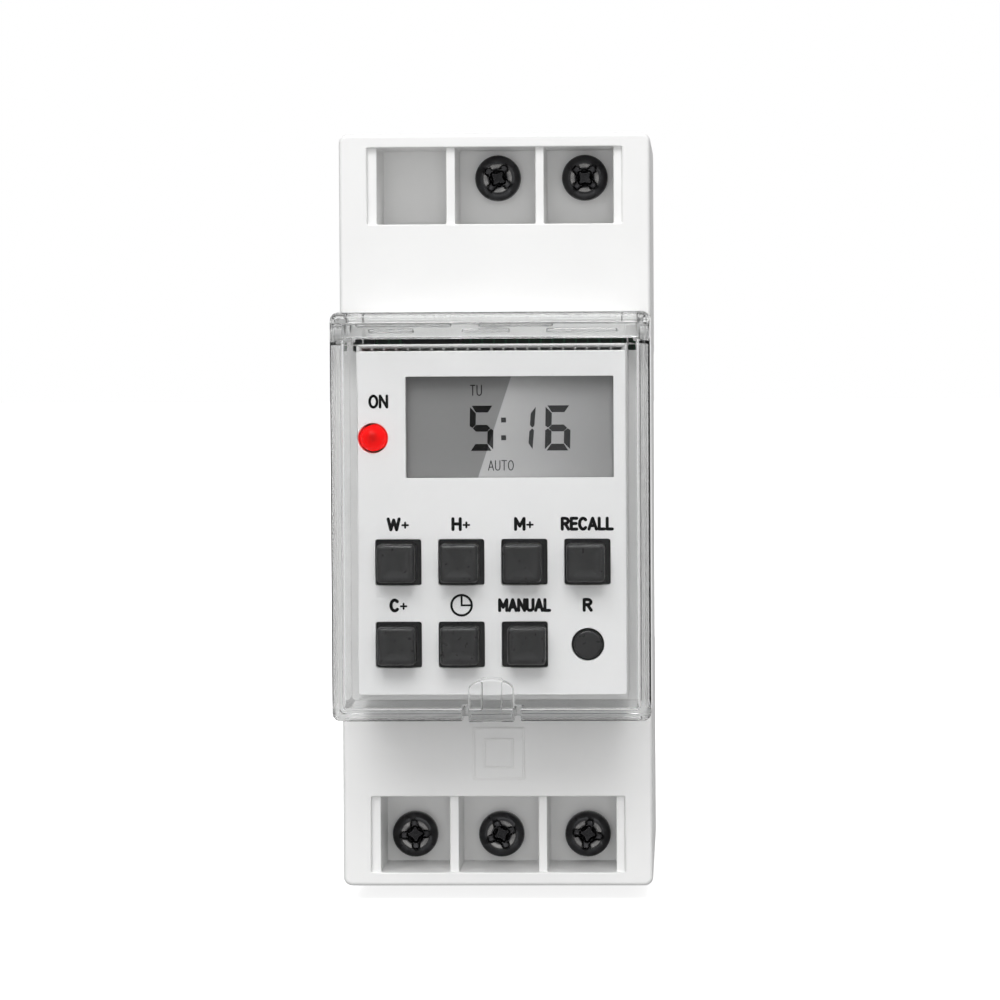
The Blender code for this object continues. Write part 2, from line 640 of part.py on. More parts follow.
def keypad():
    places = []
    for row, names in enumerate(KEY_NAMES):
        for column, name in enumerate(names):
            key(name, KEY_COLUMNS[column], KEY_ROWS[row])
            places.append((KEY_COLUMNS[column], KEY_ROWS[row]))
    places.append((KEY_COLUMNS[3], KEY_ROWS[1]))
    reset_key(*places[-1])
    pill_front = PANEL_REAR_Y + GAP + KEY_FLANGE_THICK + KEY_BOSS_LENGTH + GAP
    profile = [(pill_front, PILL_RADIUS), (pill_front + PILL_THICK, PILL_RADIUS)]
    for number, (x, z) in enumerate(places, 1):
        turned(f"contact_pill_{number}", x, z, profile, 16, "carbon")
    rear = DISPLAY_BOARD_Y - GAP
    mat = box("keypad_mat", (-MAT_X, MAT_X), (rear - MAT_THICK, rear), MAT_Z, "silicone")
    collar_front = rear - MAT_THICK - MAT_COLLAR_HEIGHT
    collar_length = MAT_COLLAR_HEIGHT + BITE
    collars = cylinders([(x, collar_front, z, MAT_COLLAR_RADIUS, collar_length) for x, z in places])
    combine(mat, "add_collars", collars, "UNION")
    hole_length = rear - collar_front + 2 * OVERCUT
    holes = cylinders([(x, collar_front - OVERCUT, z, MAT_HOLE_RADIUS, hole_length) for x, z in places])
    combine(mat, "cut_mat_holes", holes, "DIFFERENCE")


def status_lamp():
    profile = LAMP_DOME + ((DISPLAY_BOARD_Y - GAP, LAMP_RADIUS),)
    turned("status_lamp", LAMP_X, LAMP_Z, profile, 20, "red_lens")


def display():
    """The glass behind the panel, its holder, and the two contact strips in the holder's channels."""
    front = PANEL_REAR_Y + GAP
    rear = front + GLASS_THICK
    box("lcd_glass", GLASS_X, (front, rear), GLASS_Z, "display_glass")
    holder_y = (rear + GAP, DISPLAY_BOARD_Y - GAP)
    frame = box("lcd_frame", HOLDER_X, holder_y, HOLDER_Z, "white_plastic")
    through = (holder_y[0] - OVERCUT, holder_y[1] + OVERCUT)
    combine(frame, "cut_holder", boxes((HOLDER_WINDOW_X, through, HOLDER_WINDOW_Z)), "DIFFERENCE")
    box("lcd_strip_upper", STRIP_X, holder_y, STRIP_UPPER_Z, "silicone")
    box("lcd_strip_lower", STRIP_X, holder_y, STRIP_LOWER_Z, "silicone")


def display_board():
    y = (DISPLAY_BOARD_Y, DISPLAY_BOARD_Y + DISPLAY_BOARD_THICK)
    box("display_board", (-DISPLAY_BOARD_X, DISPLAY_BOARD_X), y, DISPLAY_BOARD_Z, "board_green")
    front = y[1] + GAP
    profile = [(front, BATTERY_RADIUS), (front + BATTERY_THICK, BATTERY_RADIUS)]
    turned("backup_battery", *BATTERY_PLACE, profile, 24, "zinc_steel")
    box("controller_chip", CHIP_X, (front, front + CHIP_THICK), CHIP_Z, "black_plastic", bevel=0.15)
    builder = bmesh.new()
    crystal_y = front + CRYSTAL_RADIUS
    add_loft(builder, [circle(CRYSTAL_X, crystal_y, z, CRYSTAL_RADIUS, 12, "Z") for z in CRYSTAL_Z])
    smooth(make_object("clock_crystal", builder, "zinc_steel"))
    header = box("board_header", HEADER_X, (front, front + HEADER_THICK), HEADER_Z, "black_plastic")
    pins = []
    pin_x = (sum(HEADER_X) - HEADER_PIN_SIDE) / 2
    pin_y = (front + HEADER_THICK - BITE, POWER_BOARD_Y - GAP)
    first_z = sum(HEADER_Z) / 2 - HEADER_PIN_PITCH * (HEADER_PINS - 1) / 2 - HEADER_PIN_SIDE / 2
    for i in range(HEADER_PINS):
        z = first_z + HEADER_PIN_PITCH * i
        pins.append(((pin_x, pin_x + HEADER_PIN_SIDE), pin_y, (z, z + HEADER_PIN_SIDE)))
    combine(header, "add_header_pins", boxes(*pins), "UNION")


def power_board():
    y = (POWER_BOARD_Y, POWER_BOARD_Y + POWER_BOARD_THICK)
    board_z = (-POWER_BOARD_HALF_Z, POWER_BOARD_HALF_Z)
    box("power_board", (-POWER_BOARD_X, POWER_BOARD_X), y, board_z, "board_green")
    foot = POWER_BOARD_Y - GAP
    box("relay", RELAY_X, (foot - RELAY_HEIGHT, foot), RELAY_Z, "relay_blue", bevel=0.5)
    box("dropper_capacitor", DROPPER_X, (foot - DROPPER_HEIGHT, foot), DROPPER_Z, "film_yellow", bevel=0.6)
    top = foot - SMOOTHING_HEIGHT
    profile = [(top, SMOOTHING_RADIUS - BITE), (top + BITE, SMOOTHING_RADIUS), (foot, SMOOTHING_RADIUS)]
    turned("smoothing_capacitor", *SMOOTHING_PLACE, profile, 20, "black_plastic")
    box("bridge_rectifier", BRIDGE_X, (foot - BRIDGE_HEIGHT, foot), BRIDGE_Z, "black_plastic", bevel=0.3)
    builder = bmesh.new()
    disc_y = foot - VARISTOR_RADIUS
    add_loft(builder, [circle(x, disc_y, VARISTOR_Z, VARISTOR_RADIUS, 20, "X") for x in VARISTOR_X])
    smooth(make_object("varistor", builder, "varistor_blue"))


def terminal_screw(name, x, z):
    profile = [(HEAD_Y + drop, HEAD_RADIUS - inset) for drop, inset in HEAD_EDGE]
    profile += [
        (CELL_FLOOR_Y - GAP, HEAD_RADIUS),
        (CELL_FLOOR_Y - GAP, SHANK_RADIUS),
        (SCREW_TIP_Y - TIP_CHAMFER, SHANK_RADIUS),
        (SCREW_TIP_Y, SHANK_RADIUS - TIP_CHAMFER),
    ]
    screw = turned(name, x, z, profile, 20, "black_screw")
    arm = CROSS_ARM
    half = CROSS_HALF_WIDTH
    cross = [(-half, arm), (-half, half), (-arm, half), (-arm, -half), (-half, -half), (-half, -arm)]
    cross += [(-a, -b) for a, b in cross]
    builder = bmesh.new()
    outline = [(x + a, z + b) for a, b in cross]
    extrude_profile(builder, outline, HEAD_Y - OVERCUT, HEAD_Y + CROSS_DEPTH, axis="Y")
    combine(screw, f"cut_cross_{name}", builder, "DIFFERENCE")


def terminal_cage(name, x, z):
    """A square loop that climbs the screw and lifts the wire against the fixed bar."""
    outer_z = (z - CAGE_HALF_LENGTH, z + CAGE_HALF_LENGTH)
    builder = boxes(((x - CAGE_HALF_X, x + CAGE_HALF_X), CAGE_Y, outer_z))
    cage = make_object(name, builder, "zinc_steel", origin=(x, CAGE_Y[0], z))
    inner = CAGE_HALF_X - CAGE_WALL
    bore_reach = CAGE_HALF_LENGTH + OVERCUT
    bore = ((x - inner, x + inner), CAGE_BORE_Y, (z - bore_reach, z + bore_reach))
    combine(cage, f"cut_bore_{name}", boxes(bore), "DIFFERENCE")
    hole_length = CAGE_BORE_Y[0] - CAGE_Y[0] + 1.6 * OVERCUT
    hole = cylinders([(x, CAGE_Y[0] - OVERCUT, z, CLEAR_RADIUS, hole_length)])
    combine(cage, f"cut_thread_{name}", hole, "DIFFERENCE")


def contact_bar(name, x, side):
    """A bent strip from inside the cage to the power board."""
    front, rear = BAR_Y
    leg_low, leg_high = BAR_LEG_Z
    foot = POWER_BOARD_Y - GAP
    outline = [
        (front, BAR_TOP_Z),
        (front, leg_low),
        (foot, leg_low),
        (foot, leg_high),
        (rear, leg_high),
        (rear, BAR_TOP_Z),
    ]
    builder = bmesh.new()
    extrude_profile(builder, [(y, side * z) for y, z in outline], x - BAR_HALF_X, x + BAR_HALF_X)
    make_object(name, builder, "copper")


def terminals():
    for number, (x, side) in enumerate(terminal_places(), 1):
        z = side * TERMINAL_Z
        terminal_screw(f"terminal_screw_{number}", x, z)
        terminal_cage(f"terminal_cage_{number}", x, z)
        contact_bar(f"contact_bar_{number}", x, side)


def cover_profile():
    """The cover seen from the side: square at the front, round about the hinge at its upper rear corner."""
    outline = [(COVER_REAR_Y, -COVER_HALF_Z), (COVER_FRONT_Y, -COVER_HALF_Z), (COVER_FRONT_Y, COVER_HALF_Z)]
    high = COVER_HALF_Z - HINGE_Z
    start = math.asin(high / HINGE_BARREL_RADIUS)
    end = math.acos((COVER_REAR_Y - HINGE_Y) / HINGE_BARREL_RADIUS)
    steps = 6
    for i in range(steps + 1):
        turn = start + (end - start) * i / steps
        y = HINGE_Y + HINGE_BARREL_RADIUS * math.cos(turn)
        outline.append((y, HINGE_Z + HINGE_BARREL_RADIUS * math.sin(turn)))
    return outline


def thumb_tab():
    """A pad with a domed upper edge, proud of the cover's front at the middle of its lower edge."""
    low_z = -COVER_HALF_Z + CELL_EDGE
    outline = [(-TAB_HALF_X, low_z), (TAB_HALF_X, low_z)]
    spring_z = TAB_TOP_Z - TAB_DOME_RISE
    steps = 8
    for i in range(steps + 1):
        turn = math.pi * i / steps
        outline.append((TAB_HALF_X * math.cos(turn), spring_z + TAB_DOME_RISE * math.sin(turn)))
    builder = bmesh.new()
    extrude_profile(builder, outline, COVER_FRONT_Y - TAB_PROUD, COVER_FRONT_Y + BITE, axis="Y")
    return builder


def flip_cover():
    builder = bmesh.new()
    extrude_profile(builder, cover_profile(), -HALF_WIDTH, HALF_WIDTH)
    front = [e for e in builder.edges if all(abs(v.co.y - COVER_FRONT_Y) < 0.001 for v in e.verts)]
    bmesh.ops.bevel(builder, geom=front, offset=COVER_CORNER, segments=3, affect="EDGES", profile=0.5)
    cover = make_object("flip_cover", builder, "clear_plastic", origin=(0, HINGE_Y, HINGE_Z))
    inner_x = HALF_WIDTH - COVER_WALL
    inner_z = COVER_HALF_Z - COVER_WALL
    bar_z = HINGE_Z - TOP_BAR_DROP
    pane_y = COVER_FRONT_Y + COVER_WALL
    open_y = COVER_REAR_Y + OVERCUT
    low = ((-inner_x, inner_x), (pane_y, open_y), (-inner_z, bar_z))
    combine(cover, "cut_cover_inside", boxes(low), "DIFFERENCE")
    high_x = inner_x - CELL_EDGE
    high = ((-high_x, high_x), (pane_y + TOP_BAR_EXTRA, open_y), (bar_z - OVERCUT, inner_z))
    combine(cover, "cut_cover_top", boxes(high), "DIFFERENCE")
    relief_x = inner_x - GAP
    relief_y = (HINGE_Y + RELIEF_BEHIND_HINGE, open_y)
    relief = ((-relief_x, relief_x), relief_y, (HINGE_Z, COVER_HALF_Z + OVERCUT))
    combine(cover, "cut_cover_relief", boxes(relief), "DIFFERENCE")
    lug_spans = [(LUG_X[0] - GAP, LUG_X[1] + GAP), (-LUG_X[1] - GAP, -LUG_X[0] + GAP)]
    notch_y = (HINGE_Y - HINGE_PIN_RADIUS - LUG_CLEARANCE, open_y)
    notches = [(span, notch_y, (HINGE_Z, COVER_HALF_Z + OVERCUT)) for span in lug_spans]
    combine(cover, "cut_lug_notches", boxes(*notches), "DIFFERENCE")
    through_x = -HALF_WIDTH - OVERCUT
    holes = cylinders([(through_x, HINGE_Y, HINGE_Z, HINGE_HOLE_RADIUS, -2 * through_x)], axis="X")
    combine(cover, "cut_hinge_holes", holes, "DIFFERENCE")
    combine(cover, "add_thumb_tab", thumb_tab(), "UNION")
    slots = []
    for low_x in (TAB_HALF_X + CELL_EDGE, -TAB_HALF_X - CELL_EDGE - TAB_SLOT_WIDTH):
        slot_y = (COVER_FRONT_Y - OVERCUT, TAB_SLOT_REAR_Y)
        slots.append(((low_x, low_x + TAB_SLOT_WIDTH), slot_y, (-COVER_HALF_Z - OVERCUT, TAB_SLOT_TOP_Z)))
    combine(cover, "cut_tab_slots", boxes(*slots), "DIFFERENCE")
    stud = ((-STUD_HALF_X, STUD_HALF_X), (pane_y - BITE, PANEL_Y - 2 * GAP), STUD_Z)
    combine(cover, "add_latch_stud", boxes(stud), "UNION")


clear_scene()
front_housing()
rear_base()
rail_clip()
clip_spring()
control_panel()
keypad()
status_lamp()
display()
display_board()
power_board()
terminals()
flip_cover()
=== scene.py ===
"""Looks of the two-module digital time switch for a DIN rail.

Pieces are built in millimetres in the CAD frame: X across, front facing -Y, +Z up, origin on the rail seat.
"""

from math import acos, asin, atan2, cos, degrees, dist, hypot, pi, radians, sin

import bmesh
import bpy
from mathutils import Matrix, Vector


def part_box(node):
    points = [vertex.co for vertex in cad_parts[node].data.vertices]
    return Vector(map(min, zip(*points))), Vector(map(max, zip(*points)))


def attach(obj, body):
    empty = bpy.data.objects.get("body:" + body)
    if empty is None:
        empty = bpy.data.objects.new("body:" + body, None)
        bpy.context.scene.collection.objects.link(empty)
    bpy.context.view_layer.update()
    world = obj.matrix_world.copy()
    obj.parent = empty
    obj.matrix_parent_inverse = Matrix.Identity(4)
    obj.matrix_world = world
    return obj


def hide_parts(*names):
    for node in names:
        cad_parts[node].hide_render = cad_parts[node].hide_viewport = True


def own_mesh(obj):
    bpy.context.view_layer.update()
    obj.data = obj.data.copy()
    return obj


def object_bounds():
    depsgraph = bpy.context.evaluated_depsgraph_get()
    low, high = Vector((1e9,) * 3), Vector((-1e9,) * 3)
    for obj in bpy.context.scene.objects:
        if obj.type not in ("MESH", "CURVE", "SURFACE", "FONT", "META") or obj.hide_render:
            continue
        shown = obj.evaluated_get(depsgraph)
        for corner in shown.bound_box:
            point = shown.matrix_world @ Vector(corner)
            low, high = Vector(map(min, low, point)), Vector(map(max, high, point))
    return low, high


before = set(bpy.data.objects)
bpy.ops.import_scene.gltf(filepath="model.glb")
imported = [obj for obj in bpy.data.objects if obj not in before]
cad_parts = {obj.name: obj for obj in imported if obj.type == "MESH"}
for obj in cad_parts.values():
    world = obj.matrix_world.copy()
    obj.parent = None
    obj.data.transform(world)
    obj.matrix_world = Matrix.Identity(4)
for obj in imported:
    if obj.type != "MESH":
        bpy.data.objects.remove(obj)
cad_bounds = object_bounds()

MM = 0.001
OVERCUT = 1.0
BITE = 0.4
GAP = 0.3
TINY = 0.001
JOIN_DISTANCE = 0.002
LEAST_CORNER = 0.02
SHARP_ANGLE = radians(32)


def extent(node):
    """The spans of a CAD node along X, Y and Z, in millimetres."""
    low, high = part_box(node)
    return [(low[i] / MM, high[i] / MM) for i in range(3)]


def around(x, z, half):
    return grown((x, x), half), grown((z, z), half)


def grown(span, margin):
    return (span[0] - margin, span[1] + margin)


def mirrored(span):
    return (-span[1], -span[0])


def middle(span):
    return (span[0] + span[1]) / 2


def front_middle(spot):
    """Where the middle of an extent lies across and up."""
    return middle(spot[0]), middle(spot[2])


# Housing
HOUSING = extent("front_housing")
BASE = extent("rear_base")
BODY_X = BASE[0]
BODY_Z = BASE[2]
SHOULDER_Y = -44.0
SPLIT_Y = HOUSING[1][1]
BODY_CORNER = 1.0
FRONT_FILLET = 0.45
SEAM_FILLET = 0.15
WALL = 1.35
FRONT_WALL = 1.6
INNER_X = grown(BODY_X, -WALL)
INNER_Z = (-31.8, 31.8)
SEAT_X = (-15.3, 15.3)
SEAT_Z = (-20.9, 19.3)
SEAT_Y = -54.2
SEAT_CORNER = 0.3
SEAT_WALL = 0.7
LIP_Y = HOUSING[1][0]
LIP_THICK = 0.24
SLOT_X = (-16.4, 16.4)
SLOT_Z = (19.3, 20.15)
POCKET_LOW_Z = 18.5
VENT_Z = (18.6, 19.03)
VENT_REAR_Y = -48.0
VENT_PITCH = 1.35
VENT_WIDE = 1.0
VENTS = 22
EMBLEM_CENTRE = (0.14, -28.1)
EMBLEM_HALF_SIDES = (3.0, 1.75)
EMBLEM_LINE = 0.26
EMBLEM_PROUD = 0.2

# Terminals
TERMINALS = 5
UPPER_TERMINALS = 2
TERMINAL_COLUMNS = (-10.2, 0.0, 10.2)
WINDOW_X = (-14.7, 14.7)
WINDOW_Z = (33.1, 41.95)
WINDOW_RECESS = 0.6
CELLS = ((-13.6, -5.6), (-4.55, 4.7), (5.7, 13.7))
CELL_FLOOR_Y = -32.3
FLOOR_THICK = 1.2
CHAMBER_HALF_X = 4.4
CHAMBER_Z = (34.6, 42.1)
SCREW_ROW_Z = 38.65
CLEAR_RADIUS = 2.1
BAR_SLOT_HALF_X = 2.5
BAR_SLOT_Z = (31.2, 35.2)
BAR_SLOT_FRONT_Y = -25.2
WIRE_HALF_X = 2.6
WIRE_Y = (-23.7, -18.9)
SCREW_TURNS = (56, 47, 4, 22, -10)

# Hinge
HINGE_Y = -46.7
HINGE_Z = 20.5
PIN_RADIUS = 0.95
LUG_X = (15.0, 16.35)
LUG_FLAT = 0.45
LUG_ROOT = 0.8
PIN_END_X = 17.75

# Panel
PANEL = extent("control_panel")
PANEL_FRONT_Y = PANEL[1][0]
PANEL_REAR_Y = -54.8
PANEL_Z = (-20.3, 18.6)
PANEL_POSTS = ((-12.9, 16.4), (-12.9, 0.6), (0.1, -19.0))
PANEL_POST_RADIUS = 0.9
DISPLAY_X = (-9.65, 13.8)
DISPLAY_Z = (4.25, 15.7)
KEY_HOLE_SIDE = 5.2
KEY_HOLE_CORNER = 0.25
LAMP_HOLE_RADIUS = 1.7
LAMP_ROOM_RADIUS = 1.8
RESET_HOLE_RADIUS = 1.85
RESET_RADIUS = 1.6
RESET_FLANGE_RADIUS = 2.6
RESET_ROUND = 0.25
KEYS = ("key_week", "key_hour", "key_minute", "key_recall", "key_channel", "key_clock", "key_manual")
KEY_SIDE = 4.3
KEY_SHIFT = (-0.2, -0.04)
MANUAL_KEY_SHIFT = (0.24, -0.04)
KEY_CORNER = 0.45
KEY_DISH = ((0.1, 1.5), (0.07, 1.0), (0.02, 0.72), (0.0, 0.55))
KEY_RIM = (0.42, 0.46)
KEY_FLANGE_SIDE = 5.8
KEY_FLANGE_Y = (-54.5, -53.7)
KEY_BOSS_RADIUS = 1.5

# Cover
COVER = extent("flip_cover")
COVER_X = COVER[0]
COVER_FRONT_Y = -60.0
COVER_REAR_Y = COVER[1][1]
COVER_Z = (-23.0, 23.0)
COVER_WALL = 1.2
COVER_FILLET = 0.9
BARREL_RADIUS = 2.55
PIN_HOLE_RADIUS = 1.3
TOP_BAR_Z = 20.1
TOP_BAR_THICK = 2.5
TOP_BAR_GROOVES = (
    ((20.7, 21.05), ((-13.6, -8.6), (-3.1, 2.2), (6.4, 14.2))),
    ((21.35, 21.65), ((-15.0, -4.4), (-1.2, 7.0))),
)
GROOVE_DEEP = 0.7
TAB_HALF_X = 2.55
TAB_TOP_Z = -18.1
TAB_PROUD = COVER_FRONT_Y - COVER[1][0]
NOTCH_X = (TAB_HALF_X, 3.3)
NOTCH_REAR_Y = -52.0
NOTCH_TOP_Z = -21.2
STUD_X = (-1.1, 1.1)
STUD_TOP_Z = -18.2
LUG_ROOM = 1.45

# Rail side
RAIL_SLOT_Z = (-17.9, 17.75)
SEAT_RELIEF_Z = 15.8
RELIEF_PAST_SLOT = 0.05
HOOK_X = (5.5, 15.5)
HOOK_Y = (1.4, 3.4)
HOOK_LOW_Z = 16.3
CLIP = extent("rail_clip")
SPRING = extent("clip_spring")
CHANNEL_X = (-6.9, 6.9)
CHANNEL_MOUTH_X = (-4.5, 4.5)
BASE_FLOOR_Y = -1.8
FOOT_Z = 19.6
FOOT_INNER_X = 8.4
FOOT_Y = (-2.2, 4.0)
BOARD_POST_X = 13.6
BOARD_POST_Z = 28.2
BOARD_POST_RADIUS = 1.8
POST_X = (-1.2, 1.2)
POST_Z = (-37.5, -36.0)


# Mesh building


def fillet(y, radius, steps=5, front=True):
    """(y, inset) pairs that round an edge over, from the face inwards in front, else the other way."""
    pairs = []
    for i in range(steps + 1):
        turn = pi / 2 * i / steps
        inset = radius * (1 - sin(turn))
        depth = radius * (1 - cos(turn))
        pairs.append((y + depth if front else y - depth, inset))
    return pairs if front else pairs[::-1]


def rounded_rectangle(x, z, radius, steps=6):
    """Points round a rectangle with arcs for corners, as (x, z)."""
    if radius <= TINY:
        return [(x[1], z[1]), (x[0], z[1]), (x[0], z[0]), (x[1], z[0])]
    points = []
    for quarter, (cx, cz) in enumerate(((x[1], z[1]), (x[0], z[1]), (x[0], z[0]), (x[1], z[0]))):
        centre_x = cx - radius if cx == x[1] else cx + radius
        centre_z = cz - radius if cz == z[1] else cz + radius
        for i in range(steps + 1):
            turn = pi / 2 * (quarter + i / steps)
            points.append((centre_x + radius * cos(turn), centre_z + radius * sin(turn)))
    return points


def front_loop(x, z, y, radius=0, steps=6):
    """A rounded rectangle that stands at y."""
    return [(px, y, pz) for px, pz in rounded_rectangle(x, z, radius, steps)]


def circle(radius, count):
    turns = [2 * pi * i / count for i in range(count)]
    return [(radius * cos(turn), radius * sin(turn)) for turn in turns]


def add_loft(bm, loops, closed=False):
    """Loops of equal length joined into one skin, with a face over each end or joined end to end."""
    rings = [[bm.verts.new(point) for point in loop] for loop in loops]
    count = len(rings[0])
    pairs = list(zip(rings, rings[1:]))
    if closed:
        pairs.append((rings[-1], rings[0]))
    for first, second in pairs:
        for i in range(count):
            after = (i + 1) % count
            bm.faces.new((first[i], first[after], second[after], second[i]))
    if not closed:
        bm.faces.new(rings[0])
        bm.faces.new(list(reversed(rings[-1])))


def add_plate(bm, x, z, radius, profile, steps=6, square_top=False):
    """Stacked rounded rectangles facing Y; profile is a list of (y, inset), which the top side can skip."""
    loops = []
    for y, inset in profile:
        top = z[1] if square_top else z[1] - inset
        corner = max(radius - inset, LEAST_CORNER)
        loops.append(front_loop(grown(x, -inset), (z[0] + inset, top), y, corner, steps))
    add_loft(bm, loops)


def add_box(bm, x, y, z):
    add_loft(bm, [front_loop(x, z, py) for py in y])


def add_turned(bm, x, z, profile, segments=32):
    """A solid of revolution about a line along Y, from (y, radius) pairs."""
    add_loft(bm, [[(x + u, y, z + v) for u, v in circle(radius, segments)] for y, radius in profile])


def add_rod(bm, x, y, z, radius, segments=32):
    """A round bar along X, with x a span."""
    add_loft(bm, [[(px, y + u, z + v) for u, v in circle(radius, segments)] for px in x])


def add_side_outline(bm, outline, x):
    """An outline of (y, z) pairs along X."""
    add_loft(bm, [[(px, y, z) for y, z in outline] for px in x])


def add_tube(bm, path, radius, sides=10):
    """A round wire along a path of points, with flat ends."""
    loops = []
    for i, point in enumerate(path):
        before = Vector(path[max(i - 1, 0)])
        after = Vector(path[min(i + 1, len(path) - 1)])
        along = (after - before).normalized()
        side = along.cross(Vector((0, 0, 1)) if abs(along.z) < 0.9 else Vector((1, 0, 0))).normalized()
        up = side.cross(along)
        loops.append([Vector(point) + radius * (u * side + v * up) for u, v in circle(1, sides)])
    add_loft(bm, loops)


def solid(add, *sizes, **options):
    """A bmesh that holds one shape."""
    bm = bmesh.new()
    add(bm, *sizes, **options)
    return bm


def link(name, data):
    """A new object in the scene."""
    made = bpy.data.objects.new(name, data)
    bpy.context.scene.collection.objects.link(made)
    return made


def make(name, bm):
    """An object from a bmesh in millimetres."""
    bmesh.ops.recalc_face_normals(bm, faces=bm.faces)
    bmesh.ops.scale(bm, vec=(MM, MM, MM), verts=bm.verts)
    mesh = bpy.data.meshes.new(name)
    bm.to_mesh(mesh)
    bm.free()
    return link(name, mesh)


def bake(piece):
    """The piece's modifiers become its mesh."""
    graph = bpy.context.evaluated_depsgraph_get()
    mesh = bpy.data.meshes.new_from_object(piece.evaluated_get(graph))
    old = piece.data
    piece.modifiers.clear()
    piece.data = mesh
    bpy.data.meshes.remove(old)


def combine(piece, operation, *solids):
    """Each solid is joined to the piece, cut from it or kept in common with it."""
    for bm in solids:
        helper = make("helper", bm)
        modifier = piece.modifiers.new("combine", "BOOLEAN")
        modifier.operation = operation
        modifier.solver = "EXACT"
        modifier.object = helper
        bake(piece)
        bpy.data.meshes.remove(helper.data)


def boxes(*sizes):
    bm = bmesh.new()
    for x, y, z in sizes:
        add_box(bm, x, y, z)
    return bm


def both_sides(x, y, z):
    """A box and its mirror image across the part."""
    return boxes((x, y, z), (mirrored(x), y, z))


def tidy(piece):
    """Points closer than JOIN_DISTANCE are joined, and none stands outside the CAD box."""
    bm = bmesh.new()
    bm.from_mesh(piece.data)
    low, high = cad_bounds
    for point in bm.verts:
        for i in range(3):
            point.co[i] = min(max(point.co[i], low[i]), high[i])
    bmesh.ops.remove_doubles(bm, verts=bm.verts, dist=JOIN_DISTANCE * MM)
    bm.to_mesh(piece.data)
    bm.free()


def soften(piece, width, segments=2, angle=SHARP_ANGLE):
    """Moulded edges: every sharp edge gets a small round."""
    tidy(piece)
    modifier = piece.modifiers.new("soften", "BEVEL")
    modifier.width = width * MM
    modifier.segments = segments
    modifier.limit_method = "ANGLE"
    modifier.angle_limit = angle
    modifier.use_clamp_overlap = False
    modifier.miter_outer = "MITER_ARC"
    bake(piece)
    tidy(piece)
    piece.data.shade_smooth()
    weighted = piece.modifiers.new("flat_faces", "WEIGHTED_NORMAL")
    weighted.weight = 80
    bake(piece)


def smooth(piece, angle=SHARP_ANGLE):
    piece.data.shade_smooth()
    piece.data.set_sharp_from_angle(angle=angle)


def dress(piece, finish, body, slot, *nodes):
    """The piece gets its material, rides its body and stands for its CAD nodes."""
    piece.data.materials.clear()
    piece.data.materials.append(M[finish])
    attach(piece, body)
    if nodes:
        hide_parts(*nodes)


# Materials


# The colour sockets of a Mix node
MIX_FIRST = 6
MIX_SECOND = 7
MIX_RESULT = 2


class Tree:
    """A node tree with short ways to add and feed nodes."""

    def __init__(self, tree):
        self.tree = tree

    def add(self, kind):
        return self.tree.nodes.new("ShaderNode" + kind)

    def feed(self, value, socket):
        """Joins an output to the socket, or sets the socket's own value."""
        if isinstance(value, bpy.types.NodeSocket):
            self.tree.links.new(value, socket)
        else:
            socket.default_value = value

    def range(self, value, low, high, to_low, to_high):
        made = self.add("MapRange")
        for name, end in (("From Min", low), ("From Max", high), ("To Min", to_low), ("To Max", to_high)):
            made.inputs[name].default_value = end
        self.feed(value, made.inputs["Value"])
        return made.outputs["Result"]

    def math(self, operation, first, second):
        made = self.add("Math")
        made.operation = operation
        self.feed(first, made.inputs[0])
        self.feed(second, made.inputs[1])
        return made.outputs["Value"]

    def split(self, vector):
        made = self.add("SeparateXYZ")
        self.feed(vector, made.inputs["Vector"])
        return made.outputs


class Nodes(Tree):
    """A material with its own node tree, measured in millimetres."""

    def __init__(self, name):
        self.material = bpy.data.materials.new(name)
        self.material.use_nodes = True
        super().__init__(self.material.node_tree)
        self.shader = self.tree.nodes["Principled BSDF"]
        place = self.add("TexCoord")
        scaled = self.add("Mapping")
        scaled.inputs["Scale"].default_value = (1 / MM, 1 / MM, 1 / MM)
        self.feed(place.outputs["Object"], scaled.inputs["Vector"])
        self.vector = scaled.outputs["Vector"]

    def set(self, socket, value):
        self.feed(value, self.shader.inputs[socket])

    def noise(self, scale, detail=3.0, stretch=None, distortion=0.0):
        """Noise over the object, with the scale in cells per millimetre."""
        made = self.add("TexNoise")
        made.inputs["Scale"].default_value = scale
        made.inputs["Detail"].default_value = detail
        made.inputs["Distortion"].default_value = distortion
        source = self.vector
        if stretch:
            mapping = self.add("Mapping")
            mapping.inputs["Scale"].default_value = stretch
            self.feed(self.vector, mapping.inputs["Vector"])
            source = mapping.outputs["Vector"]
        self.feed(source, made.inputs["Vector"])
        return made.outputs["Fac"]

    def spread(self, noise, low=0.0, high=1.0):
        """The middle span of a noise, stretched between two values."""
        return self.range(noise, 0.3, 0.7, low, high)

    def mix(self, factor, first, second):
        made = self.add("Mix")
        made.data_type = "RGBA"
        self.feed(factor, made.inputs["Factor"])
        for index, value in ((MIX_FIRST, first), (MIX_SECOND, second)):
            self.feed((*value, 1.0) if isinstance(value, tuple) else value, made.inputs[index])
        return made.outputs[MIX_RESULT]

    def axis(self, name):
        return self.split(self.vector)[name]

    def bump(self, height, depth, strength=1.0):
        """Relief with its depth in millimetres."""
        made = self.add("Bump")
        made.inputs["Strength"].default_value = strength
        made.inputs["Distance"].default_value = depth * MM
        self.feed(height, made.inputs["Height"])
        self.set("Normal", made.outputs["Normal"])


def grey(level):
    return (level, level, level)


def shade(colour, factor):
    return tuple(min(part * factor, 1.0) for part in colour)


